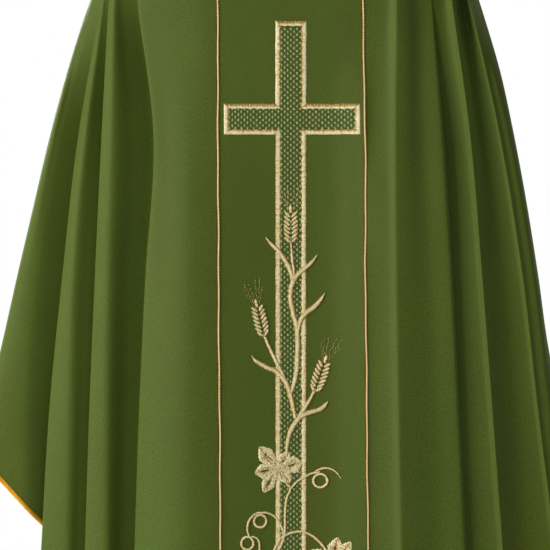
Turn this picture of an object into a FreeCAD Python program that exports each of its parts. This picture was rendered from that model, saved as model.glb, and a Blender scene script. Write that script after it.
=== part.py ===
import FreeCAD, Part
import math
import os

# Chasuble: an open-sided vestment with an embroidered middle strip (the orphrey), as sewn pieces.
# Millimetres, +Z up. The front faces -Y. The origin is where the vestment rests on the shoulders:
# at mid-width and mid-depth, level with the top of the shoulder seams.
# Left (-X) and right (+X) are those of somebody looking at the front.

V = FreeCAD.Vector

# Driving dimensions
FRONT_LENGTH = 1205.0        # from the shoulder down to the front hem
BACK_LENGTH = 1215.0
FRONT_DEPTH = 140.0          # how far the chest holds the front away from the shoulder line
BACK_DEPTH = 135.0
SHOULDER_TOP = 28.0          # half the depth of the nearly level cloth on top of the shoulders
NAPE_RADIUS = 100.0          # bends of the side view, from the shoulder down
COLLARBONE_RADIUS = 70.0
ORPHREY_HALF_WIDTH = 100.0
CLOTH = 1.0                  # gabardine and lining together
SEAM_GAP = 0.3               # each piece stops this short of a seam
SHOULDER_TIP = 190.0         # half the width at which the cloth turns down over the arm
SHOULDER_DROP = 45.0
SIDE_HEM_X = {-1: 441.0, 1: 400.0}
SIDE_HEM_Z = {-1: -834.0, 1: -850.0}
SIDE_FLARE = 0.75            # under 1, the side leaves the shoulder outward and then steepens
HEM_RISE = {-1: 1.8, 1: 4.0}  # over 1, the hem is level at the middle before it rises
FOLDS = 3                    # broad hanging folds in each quarter
FOLD_DEPTH = 28.0

NECK_HALF_WIDTH = 88.0
NECK_HALF_DEPTH = 98.0
NECK_CENTRE_Y = -12.0
FACING_WIDTH = 40.0
FACING_HALF_WIDTH = 97.0
FACING_BOTTOM = -145.0       # the facing stops here at the front, where the chest turns straight down

BINDING_HEIGHT = 7.5
BINDING_THICKNESS = 2.2
CORD_RADIUS = 2.0
NECK_CORD = 3.5
LAYER_GAP = 0.1              # between layers that are sewn flat on each other
INTERFACING = 0.6
INTERFACING_TOP = -260.0
INTERFACING_HALF_WIDTH = 95.0
TAPE_HALF_WIDTH = 0.006      # as a fraction of the way from the shoulder seam to the hem
TAPE_GAP = 0.4
TAPE_START, TAPE_END = 0.03, 0.95    # from the orphrey seam, 0, to the arm, 1
TAPE_COLUMNS = 9

CROSS_X = 1.0
CROSS_TOP = -249.0
CROSS_FOOT = -1125.0
CROSS_BAR_Z = -384.0
CROSS_ARM = 92.5
CROSS_HALF_BAR = 21.0
CROSS_BORDER = 7.0
FILL_HEIGHT = 0.4
BORDER_HEIGHT = 1.2
RELIEF_BASE = 1.3            # wheat and vine lie on top of the cross
RELIEF_HEIGHT = 1.2

SPACE = 200.0                # cutting boxes reach this far, past every part of the shoulders

PANEL_COLUMNS = 19
PANEL_ROWS = 33
PANEL_ROW_SPACING = 1.5      # over 1, rows are closer together near the shoulder
HEM_COLUMNS = 21


class Face:
    """Front or back: which way it faces and the side view of its middle strip."""

    def __init__(self, name, facing, depth, length, slope_start, chest_radius, chest_z):
        self.name = name
        self.facing = facing
        self.depth = depth
        self.corners = [V(0, 0, 0), V(0, SHOULDER_TOP * facing, 0),
                        V(0, slope_start[0] * facing, slope_start[1]),
                        V(0, depth * facing, chest_z), V(0, depth * facing, -length)]
        self.radii = [NAPE_RADIUS, COLLARBONE_RADIUS, chest_radius]


FRONT = Face("front", -1, FRONT_DEPTH, FRONT_LENGTH, (85, -33), 250.0, -190)
BACK = Face("back", 1, BACK_DEPTH, BACK_LENGTH, (82, -24), 200.0, -150)


def outward(face, start, end):
    """Normal of a straight run of the side view, pointing away from the wearer."""
    along = (end - start).normalize()
    return V(0, -along.z * face.facing, abs(along.y))


def shifted_corners(face, distance):
    """Corners of the side view after every run has moved outward by the distance."""
    points = face.corners
    normals = [outward(face, a, b) for a, b in zip(points, points[1:])]
    shifted = [points[0] + normals[0] * distance]
    for corner, n1, n2 in zip(points[1:], normals, normals[1:]):
        shifted.append(corner + (n1 + n2) * (distance / (1 + n1.dot(n2))))
    shifted.append(points[-1] + normals[-1] * distance)
    return shifted


def profile(face, distance=0.0):
    """Side view of the middle strip: straight runs joined by tangent arcs, in the plane x = 0."""
    points = shifted_corners(face, distance)
    edges = []
    start = points[0]
    for before, corner, after, base_radius in zip(points, points[1:], points[2:], face.radii):
        radius = base_radius + distance
        arriving = (corner - before).normalize()
        leaving = (after - corner).normalize()
        turn = arriving.getAngle(leaving)
        reach = radius * math.tan(turn / 2)
        arc_start = corner - arriving * reach
        arc_end = corner + leaving * reach
        middle = corner + (leaving - arriving).normalize() * (radius / math.cos(turn / 2) - radius)
        edges.append(Part.LineSegment(start, arc_start).toShape())
        edges.append(Part.Arc(arc_start, middle, arc_end).toShape())
        start = arc_end
    edges.append(Part.LineSegment(start, points[-1]).toShape())
    return Part.Wire(edges)


def profile_point(face, fraction):
    """Point at a fraction of the side view's length, from the shoulder to the hem."""
    wire = profile(face)
    left = fraction * wire.Length
    for edge in wire.Edges:
        if left <= edge.Length:
            return edge.valueAt(edge.getParameterByLength(left))
        left -= edge.Length
    return wire.Edges[-1].valueAt(wire.Edges[-1].LastParameter)


def strip(face, low, high, x_from, x_to):
    """Layer between two distances from the middle strip's surface."""
    inner = profile(face, low)
    outer = profile(face, high)
    starts = [wire.Vertexes[0].Point for wire in (inner, outer)]
    ends = [wire.Vertexes[-1].Point for wire in (inner, outer)]
    caps = [Part.LineSegment(*starts).toShape(), Part.LineSegment(*ends).toShape()]
    outline = Part.Wire(Part.__sortEdges__(inner.Edges + outer.Edges + caps))
    section = Part.Face(outline)
    section.translate(V(x_from, 0, 0))
    return section.extrude(V(x_to - x_from, 0, 0))


def box(x1, x2, y1, y2, z1, z2):
    return Part.makeBox(x2 - x1, y2 - y1, z2 - z1, V(x1, y1, z1))


def neck_column(margin):
    """Upright column through the neck opening, wider than the opening by the margin."""
    centre = V(0, NECK_CENTRE_Y, -2 * SPACE)
    major = centre + V(0, NECK_HALF_DEPTH + margin, 0)
    minor = centre + V(NECK_HALF_WIDTH + margin, 0, 0)
    ellipse = Part.Ellipse(major, minor, centre).toShape()
    return Part.Face(Part.Wire(ellipse)).extrude(V(0, 0, 2.5 * SPACE))


def panel_point(face, side, across, down):
    """Middle of the cloth of a side panel.

    across runs from the orphrey seam, 0, to the outermost fold at the arm, 1.
    down runs from the shoulder seam, 0, to the hem, 1.
    """
    seam = profile_point(face, down)
    tip_x = SIDE_HEM_X[side] - SHOULDER_TIP
    edge_x = SHOULDER_TIP + tip_x * down ** SIDE_FLARE
    edge_z = -SHOULDER_DROP + (SIDE_HEM_Z[side] + SHOULDER_DROP) * down
    turn = across * math.pi / 2
    inner_x = ORPHREY_HALF_WIDTH + SEAM_GAP
    reach = edge_x - inner_x
    depth = abs(seam.y)
    valley = FOLD_DEPTH * down * (1 - math.cos(2 * math.pi * FOLDS * across)) / 2
    out_x = math.sin(turn) / reach
    out_y = math.cos(turn) / max(depth, 1.0)
    scale = valley / math.hypot(out_x, out_y)
    x = inner_x + reach * math.sin(turn) - out_x * scale
    y = depth * math.cos(turn) - out_y * scale
    z = seam.z + (edge_z - seam.z) * math.sin(turn) ** HEM_RISE[side]
    return V(x * side, y * face.facing, z)


def binding_fraction(face, side, across):
    """How much of the way down belongs to the hem binding at this place."""
    steps = 12
    points = [panel_point(face, side, across, i / steps) for i in range(steps + 1)]
    length = sum((b - a).Length for a, b in zip(points, points[1:]))
    return BINDING_HEIGHT / length


def shifted_grid(grid, distance):
    """The grid moved along its surface normals."""
    rows = len(grid)
    columns = len(grid[0])
    moved = []
    for i in range(rows):
        line = []
        for j in range(columns):
            along = grid[min(i + 1, rows - 1)][j] - grid[max(i - 1, 0)][j]
            across = grid[i][min(j + 1, columns - 1)] - grid[i][max(j - 1, 0)]
            normal = along.cross(across).normalize()
            line.append(grid[i][j] + normal * distance)
        moved.append(line)
    return moved


def surface_through(grid):
    surface = Part.BSplineSurface()
    surface.interpolate(grid)
    return surface


def sheet(grid, thickness, offset=0.0):
    """Closed solid of even thickness on both sides of a grid of points."""
    upper = surface_through(shifted_grid(grid, offset + thickness / 2))
    lower = surface_through(shifted_grid(grid, offset - thickness / 2))
    u1, u2, v1, v2 = upper.bounds()
    faces = [upper.toShape(), lower.toShape()]
    for u in (u1, u2):
        faces.append(Part.makeRuledSurface(upper.uIso(u).toShape(), lower.uIso(u).toShape()))
    for v in (v1, v2):
        faces.append(Part.makeRuledSurface(upper.vIso(v).toShape(), lower.vIso(v).toShape()))
    shell = Part.makeShell(faces)
    shell.sewShape()
    solid = Part.makeSolid(shell)
    if solid.Volume < 0:
        solid.reverse()
    return solid


def orphrey(face):
    half = ORPHREY_HALF_WIDTH
    cloth = strip(face, -CLOTH / 2, CLOTH / 2, -half, half)
    foot = face.corners[-1].z
    hem = box(-half - 1, half + 1, -SPACE, SPACE, foot - 1, foot + BINDING_HEIGHT)
    return cloth.cut(neck_column(0)).cut(hem)


def side_panel(face, side):
    grid = []
    for i in range(PANEL_COLUMNS):
        across = i / (PANEL_COLUMNS - 1)
        lowest = 1 - binding_fraction(face, side, across)
        rows = [lowest * (j / (PANEL_ROWS - 1)) ** PANEL_ROW_SPACING for j in range(PANEL_ROWS)]
        grid.append([panel_point(face, side, across, down) for down in rows])
    return sheet(grid, CLOTH)


def hem_binding(face):
    """Bias binding folded round the lower edge, from one side of the vestment to the other."""
    columns = []
    for side in (-1, 1):
        half = []
        for i in range(HEM_COLUMNS):
            across = i / (HEM_COLUMNS - 1)
            share = binding_fraction(face, side, across)
            half.append([panel_point(face, side, across, 1 - share * k / 2) for k in (2, 1, 0)])
        columns.append(half)
    middle = []
    for x in (-60, -20, 20, 60):
        foot = face.corners[-1]
        middle.append([foot + V(x, 0, BINDING_HEIGHT * k / 2) for k in (2, 1, 0)])
    left, right = columns
    return sheet(left[::-1] + middle + right, BINDING_THICKNESS)


def orphrey_cord(face, side):
    """Round cord sewn over the seam between the orphrey and a side panel."""
    path = profile(face, CLOTH / 2 + CORD_RADIUS + LAYER_GAP)
    path.translate(V(side * ORPHREY_HALF_WIDTH, 0, 0))
    start = path.Vertexes[0].Point
    ring = Part.Wire(Part.Circle(start, V(0, 1, 0), CORD_RADIUS).toShape())
    return path.makePipeShell([ring], True, False)


def neck_cord():
    """Cord sewn on top of the cloth, just outside the neck opening."""
    ring_wall = neck_column(NECK_CORD).cut(neck_column(0))
    low = CLOTH / 2
    width = ORPHREY_HALF_WIDTH
    layers = [strip(face, low, low + NECK_CORD, -width, width) for face in (FRONT, BACK)]
    return Part.makeCompound([layer.common(ring_wall) for layer in layers])


def neck_facing(face):
    half = FACING_HALF_WIDTH
    high = -CLOTH / 2 - LAYER_GAP
    ring_wall = neck_column(FACING_WIDTH).cut(neck_column(0))
    above = box(-half, half, -SPACE, SPACE, FACING_BOTTOM, SPACE)
    return strip(face, high - INTERFACING, high, -half, half).common(ring_wall).common(above)


def interfacing(face):
    half = INTERFACING_HALF_WIDTH
    high = -CLOTH / 2 - LAYER_GAP
    foot = face.corners[-1].z + 2 * BINDING_HEIGHT
    window = box(-half, half, -SPACE, SPACE, foot, INTERFACING_TOP)
    return strip(face, high - INTERFACING, high, -half, half).common(window)


def shoulder_tape(side):
    """Narrow tape under the shoulder seam."""
    grid = []
    for i in range(TAPE_COLUMNS):
        across = TAPE_START + (TAPE_END - TAPE_START) * i / (TAPE_COLUMNS - 1)
        front = panel_point(FRONT, side, across, TAPE_HALF_WIDTH)
        seam = panel_point(FRONT, side, across, 0)
        back = panel_point(BACK, side, across, TAPE_HALF_WIDTH)
        grid.append([front, seam, back])
    below = CLOTH / 2 + TAPE_GAP + INTERFACING / 2
    return sheet(grid, INTERFACING, below * side)


# Embroidery is drawn in x and z, and stands out from y = 0 towards -y, until it is placed.

def raised(face_2d, base, height):
    shape = face_2d.copy()
    shape.translate(V(0, -base, 0))
    return shape.extrude(V(0, -height, 0))


def cross_area(margin):
    """The cross as a flat face, smaller all round by the margin."""
    half = CROSS_HALF_BAR - margin
    arm = CROSS_ARM - margin
    top = CROSS_TOP - margin
    foot = CROSS_FOOT + margin
    upper = CROSS_BAR_Z + half
    lower = CROSS_BAR_Z - half
    outline = [(-half, top), (half, top), (half, upper), (arm, upper), (arm, lower), (half, lower),
               (half, foot), (-half, foot), (-half, lower), (-arm, lower), (-arm, upper), (-half, upper)]
    corners = [V(CROSS_X + x, 0, z) for x, z in outline]
    return Part.Face(Part.makePolygon(corners + corners[:1]))


def cross_outline():
    return [raised(cross_area(0).cut(cross_area(CROSS_BORDER)), 0, BORDER_HEIGHT)]


def cross_fill():
    return [raised(cross_area(CROSS_BORDER + LAYER_GAP), 0, FILL_HEIGHT)]


def stroke(route, widths):
    """Flat stroke of changing width along a smooth line. A width of 0 ends it in a point."""
    points = [V(x, 0, z) for x, z in route]
    curve = Part.BSplineCurve()
    curve.interpolate(points)
    left = []
    right = []
    for point, width in zip(points, widths):
        along = V(*curve.tangent(curve.parameter(point))[0])
        normal = V(-along.z, 0, along.x) * (width / 2)
        left.append(point + normal)
        right.append(point - normal)
    edges = []
    for rim in (left, right):
        rim_curve = Part.BSplineCurve()
        rim_curve.interpolate(rim)
        edges.append(rim_curve.toShape())
    for end, width in ((0, widths[0]), (-1, widths[-1])):
        if width > 0:
            edges.append(Part.LineSegment(left[end], right[end]).toShape())
    return Part.Face(Part.Wire(Part.__sortEdges__(edges)))


def relief(faces):
    return [raised(face, RELIEF_BASE, RELIEF_HEIGHT) for face in faces]


def joined(faces):
    """Overlapping strokes as one raised shape."""
    whole = relief(faces[:1])[0]
    for other in relief(faces[1:]):
        whole = whole.fuse(other)
    return whole.removeSplitter().Solids


def grain(x, z, length, width, tilt):
    """Pointed oval, tilted clockwise by an angle in degrees."""
    low = V(0, 0, -length / 2)
    high = V(0, 0, length / 2)
    sides = [Part.Arc(low, V(bulge, 0, 0), high).toShape() for bulge in (-width / 2, width / 2)]
    face = Part.Face(Part.Wire(Part.__sortEdges__(sides)))
    face.rotate(V(0, 0, 0), V(0, 1, 0), tilt)
    face.translate(V(x, 0, z))
    return face


def wheat_ear(base_x, base_z, tilt, grain_pairs=6, pitch=7.0):
    """Ear of wheat: two columns of grains, a grain at the tip and three awns."""
    faces = []
    for i in range(grain_pairs):
        for side in (-1, 1):
            faces.append(grain(side * 5.5, 5 + i * pitch, 11.0, 3.4, side * 30))
    top = 5 + grain_pairs * pitch
    faces.append(grain(0, top + 2, 11.0, 4.0, 0))
    for lean in (-9, 0, 9):
        foot = top + 8 + abs(lean) / 3
        awn = [(lean * 0.25, foot), (lean * 0.6, foot + 14), (lean, foot + 26)]
        faces.append(stroke(awn, [1.0, 0.8, 0]))
    for face in faces:
        face.rotate(V(0, 0, 0), V(0, 1, 0), tilt)
        face.translate(V(base_x, 0, base_z))
    return relief(faces)


def wheat_stems():
    centre = [(1, -556), (2, -568), (3, -580), (4, -600)]
    trunk = [(4, -648), (9, -670), (10, -690), (9.5, -716), (8, -736), (0, -762)]
    left = [(-35, -688), (-28, -703), (-19, -720), (-10, -738), (0, -762)]
    right = [(32, -762), (28, -771), (22, -780), (15, -792)]
    return joined([stroke(centre, [3.5, 3.5, 4, 4]), stroke(trunk, [4, 6, 6.5, 6.5, 6, 3]),
                   stroke(left, [4, 4, 4.5, 5, 3]), stroke(right, [3.5, 4, 4.5, 4])])


def leaf_blades():
    """Long pointed blades that leave the stems to either side."""
    routes = [
        ([(-33, -548), (-16, -567), (-2, -589), (1, -608)], [0, 6, 7, 2]),
        ([(36, -572), (19, -591), (6, -604), (1, -622), (3, -645), (7, -667)], [0, 5, 6, 6, 5, 1]),
        ([(46, -625), (33, -643), (19, -653), (15, -672)], [0, 6, 7, 3]),
        ([(-54, -711), (-39, -723), (-22, -732), (-8, -746), (0, -768), (6, -798)], [0, 6, 7, 7, 6, 2]),
        ([(51, -774), (40, -783), (19, -791), (6, -804), (-2, -822), (-5, -841)], [0, 6, 7, 7, 6, 2]),
    ]
    solids = []
    for route, widths in routes:
        solids.append(raised(stroke(route, widths), RELIEF_BASE + RELIEF_HEIGHT, RELIEF_HEIGHT))
    return solids


def vine_leaf(x, z, tilt, size=1.0):
    """Five-lobed leaf round the point where its veins meet, with a slit beside each vein."""
    lobes = [(-118, 36), (-62, 37), (-8, 33), (48, 35), (108, 27)]
    outline = []
    for heading, length in lobes:
        for turn, part in ((-24, 0.42), (-17, 0.80), (0, 1.0), (17, 0.80), (24, 0.42)):
            angle = math.radians(heading + turn)
            outline.append(V(math.sin(angle) * length * part, 0, math.cos(angle) * length * part))
    face = Part.Face(Part.makePolygon(outline + outline[:1]))
    for heading, length in lobes:
        angle = math.radians(heading)
        middle = (math.sin(angle) * length * 0.58, math.cos(angle) * length * 0.58)
        face = face.cut(grain(middle[0], middle[1], length * 0.3, 2.4, heading))
    face.rotate(V(0, 0, 0), V(0, 1, 0), tilt)
    face.scale(size)
    face.translate(V(x, 0, z))
    return relief(face.Faces)


def ring(x, z, radius, width=3.5):
    inner, outer = (Part.Wire(Part.Circle(V(x, 0, z), V(0, 1, 0), radius + side * width / 2).toShape())
                    for side in (-1, 1))
    return Part.Face(outer).cut(Part.Face(inner))


def vine_stem():
    upper = [(-16, -868), (-9, -881), (0, -895)]
    lower = [(0, -895), (-5, -909), (-7, -929), (-8, -958), (-14, -975), (-24, -990)]
    arch = [(-24, -985), (-15, -964), (-4, -957), (14, -954), (30, -959), (44, -973), (52, -988)]
    return joined([stroke(upper, [3, 3.5, 4]), stroke(lower, [4, 4.5, 4.5, 4.5, 4, 3]),
                   stroke(arch, [4, 4, 4, 4, 4, 4, 3])])


def tendrils():
    """Curled tendrils: a run, a loop and another run, on each side of the stem."""
    right_run = [(2, -893), (10, -886), (23, -877), (34, -873), (40, -871)]
    right_tip = [(34, -873), (42, -868), (52, -866), (61, -871), (67, -880)]
    right = joined([stroke(right_run, [3.5, 3.5, 3.5, 3.5, 2]), stroke(right_tip, [3.5, 3.5, 3.5, 3, 0]),
                    ring(40, -883, 9)])
    left_run = [(-9, -957), (-14, -943), (-22, -932), (-33, -928), (-45, -928), (-56, -934), (-61, -944),
                (-59, -954), (-52, -964)]
    left_tip = [(-52, -963), (-47, -962), (-43, -970), (-44, -982), (-52, -992)]
    left = joined([stroke(left_run, [3.5] * 9), stroke(left_tip, [3.5, 3.5, 3.5, 3, 0]),
                   ring(-42, -938, 8.5), ring(-60, -968, 8.5)])
    return right + left


def grape_cluster():
    """Bunch of round grapes, widest near its top."""
    rows = [(-998, 3), (-1011, 4), (-1024, 5), (-1037, 4), (-1050, 3), (-1063, 2), (-1076, 1)]
    solids = []
    for z, count in rows:
        for i in range(count):
            x = -28 + (i - (count - 1) / 2) * 14.5
            grape = Part.makeCylinder(6.4, RELIEF_HEIGHT, V(x, -RELIEF_BASE, z), V(0, -1, 0))
            solids.append(grape)
    return solids


def placed(solids, face):
    """Embroidery put on the front, or turned round and put on the back."""
    group = Part.makeCompound(solids)
    if face is BACK:
        group.rotate(V(0, 0, 0), V(0, 0, 1), 180)
    group.translate(V(0, face.facing * (face.depth + CLOTH / 2 + LAYER_GAP / 2), 0))
    return group


def embroidery():
    return {
        "cross_outline": cross_outline(),
        "cross_fill": cross_fill(),
        "wheat_ear_centre": wheat_ear(1, -557, 0),
        "wheat_ear_left": wheat_ear(-37, -688, -12),
        "wheat_ear_right": wheat_ear(32, -762, 20),
        "wheat_stems": wheat_stems(),
        "leaf_blades": leaf_blades(),
        "vine_leaf_upper": vine_leaf(-16, -866, 0),
        "vine_leaf_lower": vine_leaf(58, -1000, 70, 1.0),
        "vine_stem": vine_stem(),
        "tendrils": tendrils(),
        "grape_cluster": grape_cluster(),
    }


def build():
    nodes = {}
    drawn = embroidery()
    for face in (FRONT, BACK):
        nodes[face.name + "_orphrey"] = orphrey(face)
        nodes[face.name + "_interfacing"] = interfacing(face)
        nodes["neck_facing_" + face.name] = neck_facing(face)
        nodes["hem_binding_" + face.name] = hem_binding(face)
        for side, word in ((-1, "left"), (1, "right")):
            nodes[face.name + "_" + word + "_panel"] = side_panel(face, side)
            nodes[face.name + "_cord_" + word] = orphrey_cord(face, side)
        for name, solids in drawn.items():
            nodes[face.name + "_" + name] = placed(solids, face)
    for side, word in ((-1, "left"), (1, "right")):
        nodes["shoulder_tape_" + word] = shoulder_tape(side)
    nodes["neck_cord"] = neck_cord()
    return nodes


def main():
    os.makedirs("parts", exist_ok=True)
    for name, shape in build().items():
        print(f"{name:28s} valid {shape.isValid()}  solids {len(shape.Solids):3d}  cm3 {shape.Volume / 1000:.2f}")
        shape.exportStep("parts/" + name + ".step")


main()
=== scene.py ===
import math

import bmesh
import bpy
import numpy as np
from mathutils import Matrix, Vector


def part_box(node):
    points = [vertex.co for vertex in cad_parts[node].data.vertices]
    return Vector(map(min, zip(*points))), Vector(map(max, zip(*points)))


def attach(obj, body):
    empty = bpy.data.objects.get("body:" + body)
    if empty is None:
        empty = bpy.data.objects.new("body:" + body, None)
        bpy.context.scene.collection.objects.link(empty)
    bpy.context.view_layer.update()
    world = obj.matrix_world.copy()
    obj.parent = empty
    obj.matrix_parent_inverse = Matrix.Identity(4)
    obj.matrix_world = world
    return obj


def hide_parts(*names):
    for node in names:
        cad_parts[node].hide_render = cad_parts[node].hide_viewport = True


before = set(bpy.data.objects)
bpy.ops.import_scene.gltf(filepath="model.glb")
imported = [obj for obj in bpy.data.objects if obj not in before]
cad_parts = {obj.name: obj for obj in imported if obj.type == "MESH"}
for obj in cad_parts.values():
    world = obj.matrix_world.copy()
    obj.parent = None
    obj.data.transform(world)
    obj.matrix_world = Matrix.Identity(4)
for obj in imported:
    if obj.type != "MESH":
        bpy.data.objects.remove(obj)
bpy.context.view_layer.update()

# Everything is in metres in the part's own frame: +Z up, the front faces -Y, and the origin is
# where the vestment rests on the shoulders. Left is -X, as somebody looking at the front sees it.

BINDING_HEIGHT = 0.0075       # the CAD cloth stops this far above the hem, where its binding starts
FRONT_HEM_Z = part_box("front_orphrey")[0][2] - BINDING_HEIGHT
BACK_HEM_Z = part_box("back_orphrey")[0][2] - BINDING_HEIGHT
ORPHREY_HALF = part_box("front_orphrey")[1][0]
FRONT_DEPTH = 0.140
BACK_DEPTH = 0.135
SHOULDER_DROP = 0.045
SIDE_HEM_Z = {-1: -0.834, 1: -0.850}
CLOTH = 0.0010                # thickness of the green cloth
INNER_CLOTH = 0.0006          # thickness of interfacing and facing
INNER_GAP = 0.0013            # how far they lie behind the outside of the green cloth
MM = 0.001
FRONT, BACK = -1, 1


# ---------------------------------------------------------------- small helpers

def smoothstep(low, high, value):
    t = np.clip((value - low) / (high - low), 0.0, 1.0)
    return t * t * (3 - 2 * t)


def unit(vectors):
    return vectors / np.linalg.norm(vectors, axis=-1, keepdims=True)


def run_along(path):
    """Length of a path so far, at each of its points."""
    return np.concatenate([[0], np.cumsum(np.linalg.norm(np.diff(path, axis=0), axis=1))])


def read_off(at, keys, rows):
    """Rows of numbers read off at places between their keys."""
    return np.stack([np.interp(at, keys, column) for column in rows.T], axis=1)


def hermite(t, span, start, end, start_slope, end_slope):
    """Cubic between two values with their slopes, t going from 0 to 1 along a span."""
    return ((2 * t**3 - 3 * t**2 + 1) * start + (t**3 - 2 * t**2 + t) * span * start_slope
            + (-2 * t**3 + 3 * t**2) * end + (t**3 - t**2) * span * end_slope)


def curve_through(keys, values, at):
    """Smooth curve through values at rising keys, straight beyond its ends."""
    keys = np.asarray(keys, float)
    values = np.asarray(values, float)
    slopes = np.gradient(values, keys)
    at = np.asarray(at, float)
    i = np.clip(np.searchsorted(keys, at) - 1, 0, len(keys) - 2)
    h = keys[i + 1] - keys[i]
    t = np.clip((at - keys[i]) / h, 0.0, 1.0)
    inside = hermite(t, h, values[i], values[i + 1], slopes[i], slopes[i + 1])
    under = np.minimum(at - keys[0], 0.0) * slopes[0]
    over = np.maximum(at - keys[-1], 0.0) * slopes[-1]
    return inside + under + over


def rounded_path(points, radii, step=0.002):
    """Points along straight runs joined by tangent arcs."""
    points = [np.array(p, float) for p in points]
    path = [points[0]]
    for before, corner, after, radius in zip(points, points[1:], points[2:], radii):
        arriving, leaving = unit(corner - before), unit(after - corner)
        turn = math.acos(float(np.clip(arriving @ leaving, -1, 1)))
        reach = radius * math.tan(turn / 2)
        centre = corner + unit(leaving - arriving) * (radius / math.cos(turn / 2))
        first = corner - arriving * reach - centre
        count = max(3, int(radius * turn / step))
        for k in range(count + 1):
            angle = turn * k / count
            path.append(centre + first * math.cos(angle) + arriving * radius * math.sin(angle))
    path.append(points[-1])
    return np.array(path)


# ---------------------------------------------------------------- how the cloth hangs

def side_view(facing):
    """Side view of the middle strip from the shoulder to the hem, as (y, z) and the length so far."""
    if facing == FRONT:
        corners = [(0, 0), (-0.028, 0), (-0.085, -0.033), (-FRONT_DEPTH, -0.190), (-FRONT_DEPTH, FRONT_HEM_Z)]
        radii = [0.100, 0.070, 0.250]
    else:
        corners = [(0, 0), (0.028, 0), (0.082, -0.024), (BACK_DEPTH, -0.150), (BACK_DEPTH, BACK_HEM_Z)]
        radii = [0.100, 0.070, 0.200]
    path = rounded_path(corners, radii)
    return path, run_along(path)


SIDE_VIEWS = {facing: side_view(facing) for facing in (FRONT, BACK)}


def seam_at(facing, down):
    """Depth and height of the middle strip at a fraction of the way from shoulder to hem."""
    path, length = SIDE_VIEWS[facing]
    at = np.asarray(down) * length[-1]
    return np.interp(at, length, path[:, 0]), np.interp(at, length, path[:, 1])


# The outermost fold on each side: half the width at heights going down.
SIDE_HEIGHTS = (0.834, 0.700, 0.600, 0.500, 0.410, 0.320, 0.220, 0.150, 0.090, 0.045)
SIDE_WIDTHS = {
    -1: (0.438, 0.406, 0.384, 0.361, 0.340, 0.316, 0.284, 0.257, 0.228, 0.190),
    1: (0.39, 0.361, 0.347, 0.331, 0.314, 0.294, 0.2655, 0.245, 0.221, 0.19),
}


def side_width(side, z):
    return curve_through([-h for h in SIDE_HEIGHTS], SIDE_WIDTHS[side], z)


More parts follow.
